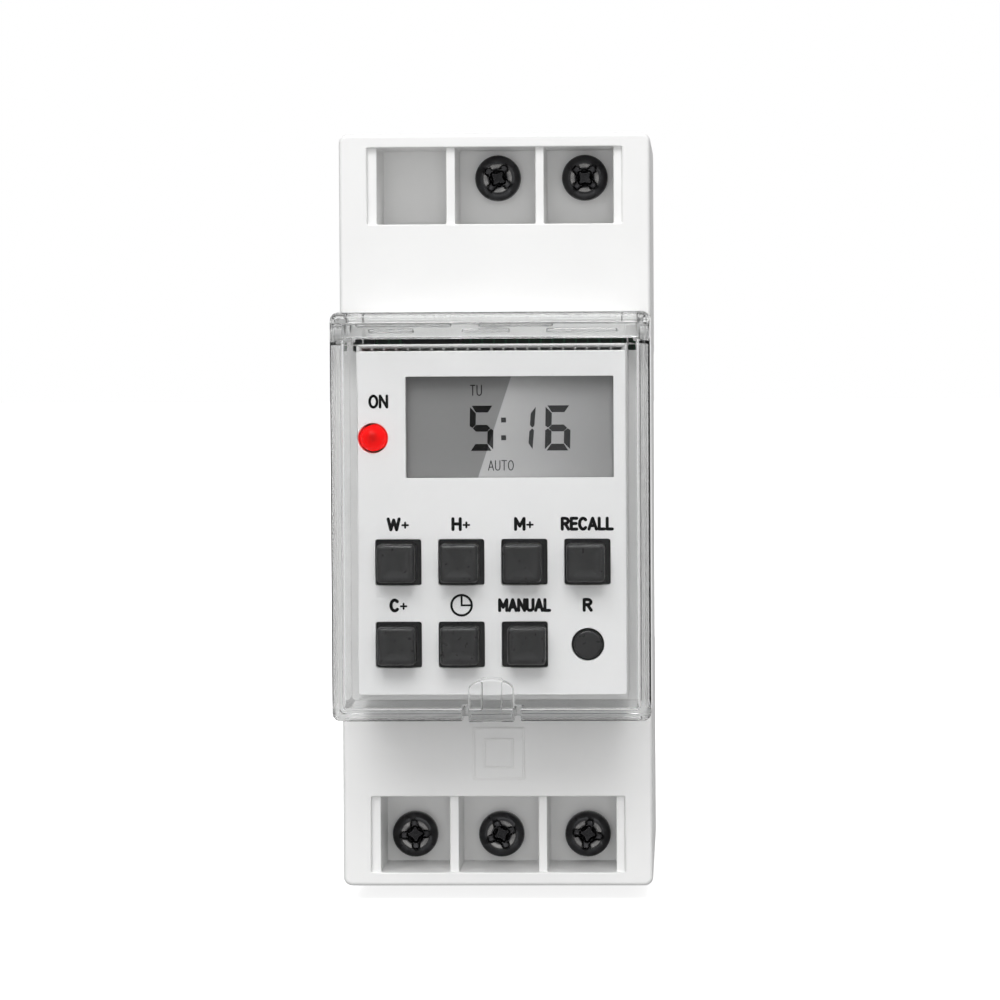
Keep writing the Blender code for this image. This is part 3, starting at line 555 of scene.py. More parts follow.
def moulded(name, colour, roughness, variation=0.02, blotch=0.12, grain=9.0, depth=0.004, shine=0.5):
    """Moulded plastic or rubber: soft blotches of tone, grain, and gloss that follows the blotches."""
    made = Nodes(name)
    tone = made.spread(made.noise(blotch, detail=4.0))
    made.set("Base Color", made.mix(tone, shade(colour, 1 - variation), shade(colour, 1 + variation)))
    patches = made.noise(blotch * 3, detail=5.0)
    made.set("Roughness", made.spread(patches, roughness * 0.88, roughness * 1.14))
    made.set("Specular IOR Level", shine)
    made.bump(made.noise(grain, detail=4.0), depth)
    return made


# Names the layer that marks a painted highlight on a piece.
HIGHLIGHT_LAYER = "wear_and_highlight"


def worn_metal(name, colour, wear_and_highlight_colour, roughness, wear=0.5, streak=(1, 1, 1), depth=0.003):
    """Plated or blackened metal, brighter at its edges from wear and with a painted highlight on any ring a
    piece marks, with fine drawn lines.
    """
    made = Nodes(name)
    tone = made.spread(made.noise(0.5, detail=5.0))
    base = made.mix(tone, shade(colour, 0.85), shade(colour, 1.15))
    geometry = made.add("NewGeometry")
    edge = made.range(geometry.outputs["Pointiness"], 0.53, 0.62, 0.0, wear)
    wear_and_highlight = made.math("MULTIPLY", edge, made.range(made.noise(3.0, detail=4.0), 0.35, 0.65, 0.2, 1.0))
    # Painted highlight: where a piece marks a ring, broken into patches, the brighter bare-metal colour is
    # painted in.
    ring_mark = made.add("Attribute")
    ring_mark.attribute_name = HIGHLIGHT_LAYER
    spots = made.range(made.noise(1.5, detail=3.0), 0.3, 0.6, 0.45, 1.0)
    patchy_highlight = made.math("MULTIPLY", ring_mark.outputs["Fac"], spots)
    made.set("Base Color", made.mix(made.math("MAXIMUM", wear_and_highlight, patchy_highlight), base, wear_and_highlight_colour))
    fine = made.noise(6.0, detail=5.0, stretch=streak)
    made.set("Roughness", made.spread(fine, roughness * 0.75, roughness * 1.3))
    made.set("Metallic", 1.0)
    made.bump(fine, depth)
    return made


def make_materials():
    made = {
        "white": moulded("white_abs", (0.885, 0.885, 0.88), 0.34, variation=0.012, grain=5.0),
        "panel": moulded("panel_abs", grey(0.86), 0.42, variation=0.014, grain=7.0, depth=0.003),
        "rubber": moulded(
            "key_rubber", (0.017, 0.017, 0.0174), 0.3, variation=0.12, blotch=0.5, grain=6.0, depth=0.0008
        ),
        "black": moulded("black_nylon", (0.028, 0.028, 0.029), 0.42, variation=0.15, blotch=0.3, depth=0.006),
        "ink": moulded(
            "panel_ink", (0.006, 0.006, 0.0065), 0.6,
            variation=0.3, blotch=1.5, grain=30, depth=0.001, shine=0.05,
        ),
        "silicone": moulded("grey_silicone", (0.3, 0.31, 0.32), 0.55, variation=0.06, depth=0.006),
        "carbon": moulded("carbon_pill", grey(0.02), 0.75, variation=0.3, blotch=2.0, depth=0.01),
        "epoxy": moulded("black_epoxy", (0.02, 0.02, 0.021), 0.5, variation=0.2, blotch=0.8, depth=0.005),
        "blue": moulded("relay_case", (0.02, 0.09, 0.33), 0.35, variation=0.08),
        "yellow": moulded("film_case", (0.72, 0.52, 0.06), 0.4, variation=0.08),
        "varistor": moulded(
            "varistor_coat", (0.03, 0.14, 0.42), 0.32, variation=0.12, blotch=0.6, depth=0.02
        ),
        "screw": worn_metal(
            "black_oxide", (0.065, 0.065, 0.068), (0.3, 0.295, 0.29), 0.2, wear=0.3, depth=0.001
        ),
        "zinc": worn_metal("zinc_steel", (0.52, 0.52, 0.54), grey(0.8), 0.34, streak=(0.3, 1, 3)),
        "copper": worn_metal("copper_alloy", (0.68, 0.36, 0.2), (0.85, 0.6, 0.42), 0.32, streak=(1, 1, 0.2)),
        "spring": worn_metal("spring_steel", (0.42, 0.42, 0.43), grey(0.8), 0.28),
        "board": board_material(),
        "clear": clear_material(),
        "lamp": lamp_material(),
        "display": display_material(),
        "segment": segment_material(),
    }
    return {name: value.material for name, value in made.items()}


def clear_material():
    """Clear polycarbonate with painted shade that greys its top bar, the faintest ripple and a little haze.
    """
    made = Nodes("clear_polycarbonate")
    tone = made.spread(made.noise(0.1, detail=3.0))
    thin = made.mix(tone, (0.98, 0.985, 0.985), (0.993, 0.995, 0.995))
    # Painted shade: the top bar is greyed to stand in for the shade that falls behind it.
    thick = made.mix(tone, (0.6, 0.605, 0.605), (0.66, 0.665, 0.665))
    bar_shade = made.range(made.axis("Z"), TOP_BAR_Z - 0.1, TOP_BAR_Z + 0.3, 0.0, 1.0)
    made.set("Base Color", made.mix(bar_shade, thin, thick))
    made.set("Roughness", made.range(made.noise(0.8, detail=5.0), 0.35, 0.7, 0.0, 0.035))
    made.set("Transmission Weight", 1.0)
    made.set("IOR", 1.5)
    made.bump(made.noise(0.2, detail=1.0), 0.0004)
    return made


# Where the painted reflection's slanted edge meets the display's top and foot, as (x, z).
REFLECTION_EDGE_TOP = (2.21, 15.62)
REFLECTION_EDGE_FOOT = (-1.53, 4.36)


def painted_reflection_side(made):
    """1 on the side of the painted reflection's slanted edge across the display, 0 on the other."""
    slope = (REFLECTION_EDGE_TOP[0] - REFLECTION_EDGE_FOOT[0]) / (REFLECTION_EDGE_TOP[1] - REFLECTION_EDGE_FOOT[1])
    along = made.math("MULTIPLY", made.math("SUBTRACT", made.axis("Z"), REFLECTION_EDGE_FOOT[1]), slope)
    line = made.math("ADD", along, REFLECTION_EDGE_FOOT[0])
    return made.range(made.math("SUBTRACT", made.axis("X"), line), -0.05, 0.05, 0.0, 1.0)


def display_material():
    """Reflective liquid crystal behind glass, with a painted reflection: brighter on one side of a slanted
    edge, fading to the right.
    """
    made = Nodes("liquid_crystal")
    reflection_fade = made.range(made.axis("X"), -1.0, 12.5, 0.0, 1.0)
    fine = made.noise(14.0, detail=2.0)
    dim = made.mix(fine, grey(0.225), grey(0.245))
    # Painted reflection: the brighter tone on one side of the edge, fading towards the right of the display.
    reflection_tone = made.mix(reflection_fade, grey(0.49), grey(0.3))
    made.set("Base Color", made.mix(painted_reflection_side(made), dim, reflection_tone))
    made.set("Roughness", made.spread(made.noise(0.4), 0.5, 0.6))
    made.set("Specular IOR Level", 0.1)
    made.bump(fine, 0.001)
    return made


def segment_material():
    """Driven segments: black, and paler where the painted reflection lies over them."""
    made = Nodes("crystal_segments")
    fine = made.noise(10.0, detail=2.0)
    dark = made.mix(fine, grey(0.002), grey(0.006))
    # Painted reflection: segments on the reflection's side are paler.
    pale = made.mix(fine, (0.036, 0.036, 0.037), (0.046, 0.046, 0.047))
    made.set("Base Color", made.mix(painted_reflection_side(made), dark, pale))
    made.set("Roughness", made.spread(made.noise(0.4), 0.5, 0.62))
    made.set("Specular IOR Level", 0.04)
    return made


def lamp_material():
    """A lit red lens: deeper red at its heart where the chip's cup shows."""
    made = Nodes("red_lens")
    x, z = front_middle(extent("status_lamp"))
    across = made.math("SUBTRACT", made.axis("X"), x)
    along = made.math("SUBTRACT", made.axis("Z"), z)
    squares = made.math("ADD", made.math("MULTIPLY", across, across), made.math("MULTIPLY", along, along))
    reach = made.math("SQRT", squares, 0.0)
    wobble = made.math("MULTIPLY", made.noise(1.6, detail=2.0), 0.5)
    heart = made.range(made.math("ADD", reach, wobble), 0.45, 1.15, 0.0, 1.0)
    colour = made.mix(heart, (0.55, 0.001, 0.0), (0.85, 0.001, 0.001))
    made.set("Base Color", made.mix(heart, (0.2, 0.0, 0.0), (0.3, 0.0, 0.0)))
    made.set("Emission Color", colour)
    made.set("Emission Strength", 0.9)
    made.set("Specular IOR Level", 0.08)
    made.set("Roughness", made.spread(made.noise(2.0), 0.1, 0.22))
    return made


def board_material():
    """Glass-epoxy board under green resist, with tracks showing as a lighter relief."""
    made = Nodes("green_board")
    bricks = made.add("TexBrick")
    bricks.inputs["Scale"].default_value = 0.35
    bricks.inputs["Mortar Size"].default_value = 0.045
    made.feed(made.vector, bricks.inputs["Vector"])
    weave = made.noise(4.0, detail=3.0)
    resist = made.mix(weave, (0.006, 0.11, 0.035), (0.012, 0.16, 0.05))
    made.set("Base Color", made.mix(bricks.outputs["Fac"], resist, (0.03, 0.26, 0.09)))
    made.set("Roughness", made.spread(weave, 0.28, 0.42))
    made.bump(bricks.outputs["Fac"], 0.03)
    return made


M = make_materials()


# Housing


def both_ways(side, span):
    return span if side > 0 else mirrored(span)


def terminal_places():
    places = [(x, 1) for x in TERMINAL_COLUMNS[-UPPER_TERMINALS:]]
    return places + [(x, -1) for x in TERMINAL_COLUMNS]


def emblem():
    """Two nested square lines raised on the lower shoulder."""
    bm = bmesh.new()
    for half in EMBLEM_HALF_SIDES:
        outer = around(*EMBLEM_CENTRE, half)
        inner = around(*EMBLEM_CENTRE, half - EMBLEM_LINE)
        front = SHOULDER_Y - EMBLEM_PROUD
        rear = SHOULDER_Y + EMBLEM_PROUD
        corners = ((outer, rear), (outer, front), (inner, front), (inner, rear))
        add_loft(bm, [front_loop(*square, y) for square, y in corners], closed=True)
    squares = make("relief_squares", bm)
    soften(squares, 0.05)
    dress(squares, "white", "root", "white_plastic")


def terminal_cuts():
    """The cutters of both terminal rows: windows, cells, chambers, holes, wire entries and bar slots."""
    shallow, deep, inner, through = (bmesh.new() for _ in range(4))
    for side in (1, -1):
        window_y = (SHOULDER_Y - OVERCUT, SHOULDER_Y + WINDOW_RECESS)
        add_box(shallow, WINDOW_X, window_y, both_ways(side, WINDOW_Z))
        for cell in CELLS:
            add_box(deep, cell, (SHOULDER_Y - OVERCUT, CELL_FLOOR_Y), both_ways(side, WINDOW_Z))
        for x in TERMINAL_COLUMNS:
            chamber_y = (CELL_FLOOR_Y + FLOOR_THICK, SPLIT_Y + OVERCUT)
            add_box(inner, grown((x, x), CHAMBER_HALF_X), chamber_y, both_ways(side, CHAMBER_Z))
    for x, side in terminal_places():
        hole = [(CELL_FLOOR_Y - OVERCUT, CLEAR_RADIUS), (CELL_FLOOR_Y + FLOOR_THICK + OVERCUT, CLEAR_RADIUS)]
        add_turned(through, x, side * SCREW_ROW_Z, hole)
        entry_z = both_ways(side, (CHAMBER_Z[1] - BITE, BODY_Z[1] + OVERCUT))
        add_box(through, grown((x, x), WIRE_HALF_X), WIRE_Y, entry_z)
        bar_y = (BAR_SLOT_FRONT_Y, SPLIT_Y + OVERCUT)
        add_box(through, grown((x, x), BAR_SLOT_HALF_X), bar_y, both_ways(side, BAR_SLOT_Z))
    return shallow, deep, inner, through


def front_housing():
    profile = fillet(SHOULDER_Y, FRONT_FILLET) + fillet(SPLIT_Y, SEAM_FILLET, 2, front=False)
    housing = make("housing_front", solid(add_plate, BODY_X, BODY_Z, BODY_CORNER, profile))
    seat = solid(add_plate, SEAT_X, SEAT_Z, SEAT_CORNER, [(SEAT_Y, 0), (SHOULDER_Y + BITE, 0)])
    lip_z = (SEAT_Z[1] - LIP_THICK, SEAT_Z[1])
    lip = boxes((grown(SEAT_X, -SEAT_CORNER), (LIP_Y, SEAT_Y + BITE), lip_z))
    lug_y = (HINGE_Y - PIN_RADIUS, SHOULDER_Y + LUG_ROOT)
    lug_z = (HINGE_Z - PIN_RADIUS + LUG_FLAT, HINGE_Z + PIN_RADIUS)
    lugs = both_sides(LUG_X, lug_y, lug_z)
    pins = bmesh.new()
    for span in ((LUG_X[1] - BITE, PIN_END_X), (-PIN_END_X, BITE - LUG_X[1])):
        add_rod(pins, span, HINGE_Y, HINGE_Z, PIN_RADIUS, 24)
    combine(housing, "UNION", seat, lip, lugs, pins)
    inside = boxes((INNER_X, (SHOULDER_Y + FRONT_WALL, SPLIT_Y + OVERCUT), INNER_Z))
    through_wall = (SHOULDER_Y - OVERCUT, SHOULDER_Y + FRONT_WALL + BITE)
    seat_y = (SEAT_Y - OVERCUT, through_wall[1])
    seat_inside = boxes((grown(SEAT_X, -SEAT_WALL), seat_y, grown(SEAT_Z, -SEAT_WALL)))
    slot = boxes((SLOT_X, through_wall, SLOT_Z))
    pockets = both_sides((SEAT_X[1], SLOT_X[1]), through_wall, (POCKET_LOW_Z, SLOT_Z[0]))
    vents = bmesh.new()
    for i in range(VENTS):
        low = (i - VENTS / 2) * VENT_PITCH + (VENT_PITCH - VENT_WIDE) / 2
        add_box(vents, (low, low + VENT_WIDE), (SEAT_Y - OVERCUT, VENT_REAR_Y), VENT_Z)
    lamp = extent("status_lamp")
    lamp_profile = [(y, LAMP_ROOM_RADIUS) for y in (SEAT_Y - OVERCUT, lamp[1][1] + GAP)]
    lamp_room = solid(add_turned, *front_middle(lamp), lamp_profile)
    combine(housing, "DIFFERENCE", inside, seat_inside, slot, pockets, vents, lamp_room, *terminal_cuts())
    soften(housing, 0.14)
    dress(housing, "white", "root", "white_plastic", "front_housing")


def rear_base():
    rear_y = BASE[1][1]
    profile = fillet(BASE[1][0], SEAM_FILLET, 2) + fillet(rear_y, FRONT_FILLET, front=False)
    base = make("housing_rear", solid(add_plate, BODY_X, BODY_Z, BODY_CORNER, profile))
    across = grown(BODY_X, OVERCUT)
    slot = boxes((across, (0, rear_y + OVERCUT), RAIL_SLOT_Z))
    reliefs = boxes(
        (across, (-GAP, OVERCUT), (SEAT_RELIEF_Z, RAIL_SLOT_Z[1] + RELIEF_PAST_SLOT)),
        (across, (-GAP, OVERCUT), (RAIL_SLOT_Z[0] - RELIEF_PAST_SLOT, -SEAT_RELIEF_Z)),
    )
    combine(base, "DIFFERENCE", slot, reliefs)
    combine(base, "UNION", both_sides(HOOK_X, HOOK_Y, (HOOK_LOW_Z, RAIL_SLOT_Z[1] + OVERCUT)))
    inner_z = grown(BODY_Z, -WALL)
    inside = boxes((INNER_X, (SPLIT_Y - OVERCUT, BASE_FLOOR_Y), inner_z))
    feet = boxes(
        (INNER_X, FOOT_Y, (FOOT_Z, inner_z[1])),
        ((FOOT_INNER_X, INNER_X[1]), FOOT_Y, (inner_z[0], -FOOT_Z)),
        ((INNER_X[0], -FOOT_INNER_X), FOOT_Y, (inner_z[0], -FOOT_Z)),
    )
    channel_z = (BODY_Z[0] - OVERCUT, RAIL_SLOT_Z[0] + BITE)
    channel = boxes((CHANNEL_X, grown(CLIP[1], GAP), channel_z))
    mouth = boxes((CHANNEL_MOUTH_X, (CLIP[1][1], rear_y + OVERCUT), channel_z))
    combine(base, "DIFFERENCE", inside, feet, channel, mouth)
    post = boxes((POST_X, (CLIP[1][0] - GAP - BITE, CLIP[1][1] - GAP), POST_Z))
    posts = bmesh.new()
    profile = [(y, BOARD_POST_RADIUS) for y in (extent("power_board")[1][1] + GAP, FOOT_Y[1] + BITE)]
    for x in (-BOARD_POST_X, BOARD_POST_X):
        for z in (-BOARD_POST_Z, BOARD_POST_Z):
            add_turned(posts, x, z, profile, 20)
    combine(base, "UNION", post, posts)
    soften(base, 0.16)
    dress(base, "white", "root", "white_plastic", "rear_base")


# Rail clip


CLIP_WINDOW_X = (-1.6, 1.6)
CLIP_WINDOW_Z = (-38.0, -24.0)
DRIVER_SLOT_X = (-2.6, 2.6)
RIBS = 4
RIB_X = (-4.2, 4.2)
RIB_LOW_Z = -21.5
RIB_PITCH = 1.2
RIB_WIDE = 0.5
RIB_DEEP = 0.25


def rail_clip():
    low, high = CLIP[1]
    tab_z, nose_z = CLIP[2]
    outline = [
        (low, tab_z),
        (low, nose_z - 1.2),
        (low + 0.7, nose_z),
        (high - 0.9, nose_z),
        (high, nose_z - 1.4),
        (high, tab_z),
    ]
    clip = make("clip_slider", solid(add_side_outline, outline, CLIP[0]))
    through = grown(CLIP[1], OVERCUT)
    driver_slot = (DRIVER_SLOT_X, through, (tab_z + 1.2, tab_z + 2.6))
    windows = boxes((CLIP_WINDOW_X, through, CLIP_WINDOW_Z), driver_slot)
    ribs = bmesh.new()
    for i in range(RIBS):
        rib_z = RIB_LOW_Z + RIB_PITCH * i
        add_box(ribs, RIB_X, (high - RIB_DEEP, high + OVERCUT), (rib_z, rib_z + RIB_WIDE))
    combine(clip, "DIFFERENCE", windows, ribs)
    soften(clip, 0.18)
    dress(clip, "black", "clip", "black_plastic", "rail_clip")


SPRING_TURNS = 8
SPRING_STEPS = 20
SPRING_WIRE = 0.2
SPRING_RADIUS = 0.9
SPRING_CROWDING = 0.055


def clip_spring():
    """A compression coil whose end turns lie close together."""
    low = SPRING[2][0] + SPRING_WIRE
    high = SPRING[2][1] - SPRING_WIRE
    y = middle(SPRING[1])
    path = []
    total = SPRING_TURNS * SPRING_STEPS
    for i in range(total + 1):
        t = i / total
        z = low + (high - low) * (t - SPRING_CROWDING * sin(2 * pi * t))
        turn = 2 * pi * i / SPRING_STEPS
        path.append((SPRING_RADIUS * cos(turn), y + SPRING_RADIUS * sin(turn), z))
    spring = make("spring_coil", solid(add_tube, path, SPRING_WIRE, 8))
    smooth(spring)
    dress(spring, "spring", "root", "zinc_steel", "clip_spring")
    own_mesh(spring)


# Panel, keys, lamp and display


def control_panel():
    profile = fillet(PANEL_FRONT_Y, 0.12, 3) + [(PANEL_REAR_Y, 0)]
    panel = make("panel_plate", solid(add_plate, PANEL[0], PANEL_Z, SEAT_CORNER, profile))
    through = grown((PANEL_FRONT_Y, PANEL_REAR_Y), OVERCUT)
    straight = [(y, 0) for y in through]
    holes = bmesh.new()
    add_plate(holes, DISPLAY_X, DISPLAY_Z, 0.12, straight, 3)
    for name in KEYS:
        x, z = around(*front_middle(extent(name)), KEY_HOLE_SIDE / 2)
        add_plate(holes, x, z, KEY_HOLE_CORNER, straight, 3)
    for name, radius in (("status_lamp", LAMP_HOLE_RADIUS), ("key_reset", RESET_HOLE_RADIUS)):
        add_turned(holes, *front_middle(extent(name)), [(y, radius) for y in through], 48)
    combine(panel, "DIFFERENCE", holes)
    posts = bmesh.new()
    for x, z in PANEL_POSTS:
        add_turned(posts, x, z, [(y, PANEL_POST_RADIUS) for y in (PANEL_REAR_Y - BITE, PANEL[1][1])], 20)
    combine(panel, "UNION", posts)
    soften(panel, 0.07)
    dress(panel, "panel", "root", "panel_plastic", "control_panel")


def key_cap(name):
    """A square rubber cap: round rim, slightly dished face, flange and boss behind."""
    spot = extent(name)
    x, z = front_middle(spot)
    shift = MANUAL_KEY_SHIFT if name == "key_manual" else KEY_SHIFT
    x += shift[0]
    z += shift[1]
    front = spot[1][0]
    half = KEY_SIDE / 2
    rings = [(front + depth, half - inset) for depth, inset in KEY_DISH]
    for i in range(1, 7):
        turn = pi / 2 * i / 6
        rings.append((front + KEY_RIM[0] * (1 - cos(turn)), half - KEY_RIM[1] * (1 - sin(turn))))
    rings.append((KEY_FLANGE_Y[0] - 0.1, half))
    levels = [(y, reach, max(KEY_CORNER - (half - reach) * 0.4, 0.12)) for y, reach in rings]
    levels += [
        (KEY_FLANGE_Y[0], half, KEY_CORNER),
        (KEY_FLANGE_Y[0], KEY_FLANGE_SIDE / 2, KEY_CORNER),
        (KEY_FLANGE_Y[1], KEY_FLANGE_SIDE / 2, KEY_CORNER),
        (KEY_FLANGE_Y[1], KEY_BOSS_RADIUS, KEY_BOSS_RADIUS - 0.01),
        (spot[1][1], KEY_BOSS_RADIUS, KEY_BOSS_RADIUS - 0.01),
    ]
    loops = [front_loop(*around(x, z, reach), y, corner, 5) for y, reach, corner in levels]
    cap = make(f"{name}_cap", solid(add_loft, loops))
    smooth(cap)
    dress(cap, "rubber", name.split("_")[1] + "_key", "key_rubber", name)


def reset_button():
    spot = extent("key_reset")
    front = spot[1][0]
    profile = [(front + 0.05, 0.4), (front + 0.02, 0.9)]
    profile += [(y, RESET_RADIUS - inset) for y, inset in fillet(front, RESET_ROUND)]
    profile += [
        (KEY_FLANGE_Y[0], RESET_RADIUS),
        (KEY_FLANGE_Y[0], RESET_FLANGE_RADIUS),
        (KEY_FLANGE_Y[1], RESET_FLANGE_RADIUS),
        (KEY_FLANGE_Y[1], KEY_BOSS_RADIUS),
        (spot[1][1], KEY_BOSS_RADIUS),
    ]
    button = make("key_reset_button", solid(add_turned, *front_middle(spot), profile, 40))
    smooth(button)
    dress(button, "rubber", "reset_key", "key_rubber", "key_reset")


def status_lamp():
    """A domed lens on a straight body."""
    spot = extent("status_lamp")
    front, rear = spot[1]
    radius = (spot[0][1] - spot[0][0]) / 2
    dome = [(y, radius - inset) for y, inset in fillet(front, radius, 8)]
    profile = dome[1:] + [(rear - 1.0, radius), (rear, radius)]
    lamp = make("lamp_lens", solid(add_turned, *front_middle(spot), profile, 40))
    smooth(lamp)
    dress(lamp, "lamp", "root", "red_lens", "status_lamp")


SEGMENTS = {
    "d": ((0.07, 0.0), (0.93, 0.0), (0.75, 0.15), (0.25, 0.15)),
    "e": ((0.0, 0.45), (0.0, 0.03), (0.25, 0.17), (0.25, 0.43), (0.11, 0.49)),
    "f": ((0.0, 0.97), (0.0, 0.55), (0.11, 0.51), (0.25, 0.57), (0.25, 0.83)),
    "g": ((0.13, 0.5), (0.27, 0.575), (0.73, 0.575), (0.87, 0.5), (0.73, 0.425), (0.27, 0.425)),
}
SEGMENTS["a"] = [(u, 1 - v) for u, v in SEGMENTS["d"]]
SEGMENTS["b"] = [(1 - u, v) for u, v in SEGMENTS["f"]]
SEGMENTS["c"] = [(1 - u, v) for u, v in SEGMENTS["e"]]
# The 5, the 1 and the 6: lit segments, left and right edge, lean
DIGITS = (("afgcd", -2.55, 0.3, 0.12), ("bc", 2.55, 4.75, 0.42), ("afgecd", 6.0, 9.0, 0.12))
DIGIT_Z = (7.28, 12.38)
COLON = (1.35, (8.75, 10.75), 0.28)
INK_THICK = 0.03


def add_flat(bm, points, y):
    """A printed shape: an outline as a thin layer that starts at y."""
    add_loft(bm, [[(px, py, pz) for px, pz in points] for py in (y, y + INK_THICK)])


def bow(centre, reach, start, end, steps=8):
    """Points along part of an oval, angles in degrees."""
    points = []
    for i in range(steps + 1):
        turn = radians(start + (end - start) * i / steps)
        points.append((centre[0] + reach[0] * cos(turn), centre[1] + reach[1] * sin(turn)))
    return points


# Each letter is its width and its strokes, in units of the letter height.
LETTERS = {
    "A": (0.62, [[(0, 0), (0.31, 1), (0.62, 0)], [(0.12, 0.32), (0.5, 0.32)]]),
    "C": (0.55, [bow((0.3, 0.5), (0.3, 0.5), 45, 315, 16)]),
    "E": (0.45, [[(0.45, 1), (0, 1), (0, 0), (0.45, 0)], [(0, 0.52), (0.4, 0.52)]]),
    "H": (0.55, [[(0, 0), (0, 1)], [(0.55, 0), (0.55, 1)], [(0, 0.52), (0.55, 0.52)]]),
    "L": (0.43, [[(0, 1), (0, 0), (0.43, 0)]]),
    "M": (0.66, [[(0, 0), (0, 1), (0.33, 0.3), (0.66, 1), (0.66, 0)]]),
    "N": (0.55, [[(0, 0), (0, 1), (0.55, 0), (0.55, 1)]]),
    "O": (0.6, [bow((0.3, 0.5), (0.3, 0.5), 0, 360, 24)]),
    "R": (
        0.52,
        [
            [(0, 0), (0, 1), (0.25, 1)] + bow((0.25, 0.76), (0.25, 0.24), 90, -90) + [(0, 0.52)],
            [(0.25, 0.5), (0.52, 0)],
        ],
    ),
    "T": (0.55, [[(0, 1), (0.55, 1)], [(0.275, 1), (0.275, 0)]]),
    "U": (0.54, [[(0, 1)] + bow((0.27, 0.27), (0.27, 0.27), 180, 360) + [(0.54, 1)]]),
    "W": (0.84, [[(0, 1), (0.2, 0), (0.42, 0.9), (0.64, 0), (0.84, 1)]]),
    "+": (0.44, [[(0, 0.42), (0.44, 0.42)], [(0.22, 0.18), (0.22, 0.66)]]),
}
LETTER_SPACE = 0.24
PLUS_WEIGHT = 0.6


def add_stroke(bm, points, weight, y):
    """A line of the given weight with round ends and joints, as a thin flat layer."""
    half = weight / 2
    for first, second in zip(points, points[1:]):
        if dist(first, second) < TINY:
            continue
        heading = atan2(second[1] - first[1], second[0] - first[0])
        outline = []
        for centre, start in ((second, heading - pi / 2), (first, heading + pi / 2)):
            for i in range(7):
                turn = start + pi * i / 6
                outline.append((centre[0] + half * cos(turn), centre[1] + half * sin(turn)))
        add_flat(bm, outline, y)


def add_text(bm, text, centre, size, y, weight):
    """Plain stroke lettering centred on a place, fitted to a width and a height."""
    total = sum(LETTERS[letter][0] for letter in text) + LETTER_SPACE * (len(text) - 1)
    scale_x = (size[0] - weight) / total
    scale_z = size[1] - weight
    start = centre[0] - (size[0] - weight) / 2
    low = centre[1] - scale_z / 2
    for letter in text:
        wide, strokes = LETTERS[letter]
        thick = weight * PLUS_WEIGHT if letter == "+" else weight
        for stroke in strokes:
            add_stroke(bm, [(start + u * scale_x, low + v * scale_z) for u, v in stroke], thick, y)
        start += (wide + LETTER_SPACE) * scale_x


LABEL_HIGH = 1.58
LABEL_WEIGHT = 0.36
UPPER_LABEL_Z = -0.94
LOWER_LABEL_Z = -10.11
# Rows of legends: the word, its column and its width
LABELS = (
    (UPPER_LABEL_Z, (("W+", 0, 2.6), ("H+", 1, 2.2), ("M+", 2, 2.3), ("RECALL", 3, 6.0))),
    (LOWER_LABEL_Z, (("C+", 0, 2.1), ("MANUAL", 2, 6.0), ("R", 3, 1.15))),
)
INK_PROUD = 0.025
CLOCK_RADII = (1.28, 1.02)
HAND_REACH = 1.05


def clock_mark(bm, x, z, y):
    """A dial outline with two hands."""
    outer, inner = CLOCK_RADII
    edges = ((outer, y + INK_THICK), (outer, y), (inner, y), (inner, y + INK_THICK))
    loops = [[(x + u, depth, z + v) for u, v in circle(radius, 40)] for radius, depth in edges]
    add_loft(bm, loops, closed=True)
    add_flat(bm, rounded_rectangle((x - 0.1, x + 0.12), (z - 0.12, z + HAND_REACH), 0), y)
    add_flat(bm, rounded_rectangle((x + 0.12, x + HAND_REACH), (z - 0.12, z + 0.1), 0), y)


def panel_legends():
    y = PANEL_FRONT_Y - INK_PROUD
    columns = [middle(extent(name)[0]) for name in KEYS[:4]]
    bm = bmesh.new()
    add_text(bm, "ON", (-12.72, 12.93), (2.25, LABEL_HIGH), y, 0.3)
    for z, row in LABELS:
        for text, column, wide in row:
            add_text(bm, text, (columns[column], z), (wide, LABEL_HIGH), y, LABEL_WEIGHT)
    clock_mark(bm, columns[1], LOWER_LABEL_Z, y)
    legends = make("panel_legends", bm)
    dress(legends, "ink", "root", "black_plastic")


def display():
    glass = extent("lcd_glass")
    profile = fillet(glass[1][0], 0.12, 3) + fillet(glass[1][1], 0.12, 3, front=False)
    cell = make("lcd_cell", solid(add_plate, glass[0], glass[2], 0.25, profile))
    smooth(cell)
    dress(cell, "display", "root", "display_glass", "lcd_glass")
    y = glass[1][0] - INK_PROUD
    marks = bmesh.new()
    for lit, left, right, lean in DIGITS:
        for segment in lit:
            points = []
            for u, v in SEGMENTS[segment]:
                across = left + (right - left - 0.15) * u + lean * v
                points.append((across, DIGIT_Z[0] + (DIGIT_Z[1] - DIGIT_Z[0]) * v))
            add_flat(marks, points, y)
    x, heights, half = COLON
    for z in heights:
        add_flat(marks, rounded_rectangle(*around(x, z, half), 0), y)
    add_text(marks, "TU", (-1.75, 14.12), (1.35, 1.24), y, 0.11)
    add_text(marks, "AUTO", (1.02, 5.62), (2.93, 1.18), y, 0.11)
    symbols = make("lcd_symbols", marks)
    dress(symbols, "segment", "root", "display_glass")


# Terminals


HEAD_RADIUS = 2.7
SCREW_DISH = ((0.125, 0.3), (0.12, 1.0), (0.105, 1.15), (0.075, 1.3), (0.04, 1.45), (0.01, 1.6), (0.0, 1.75))
THREAD_PITCH = 0.6
# Depth, and the reach, half width and waist of the recess's wings there
RECESS_LEVELS = (
    (-0.4, 1.8, 0.5, 0.95),
    (0.4, 1.65, 0.44, 0.85),
    (0.45, 1.05, 0.36, 0.68),
    (0.9, 0.85, 0.26, 0.5),
)
WING_END = 0.25
# Where the painted highlight lies on a screw's dish: its radii, and how far behind the front.
HIGHLIGHT_RING = (1.22, 1.66)
HIGHLIGHT_DEPTH = 0.14


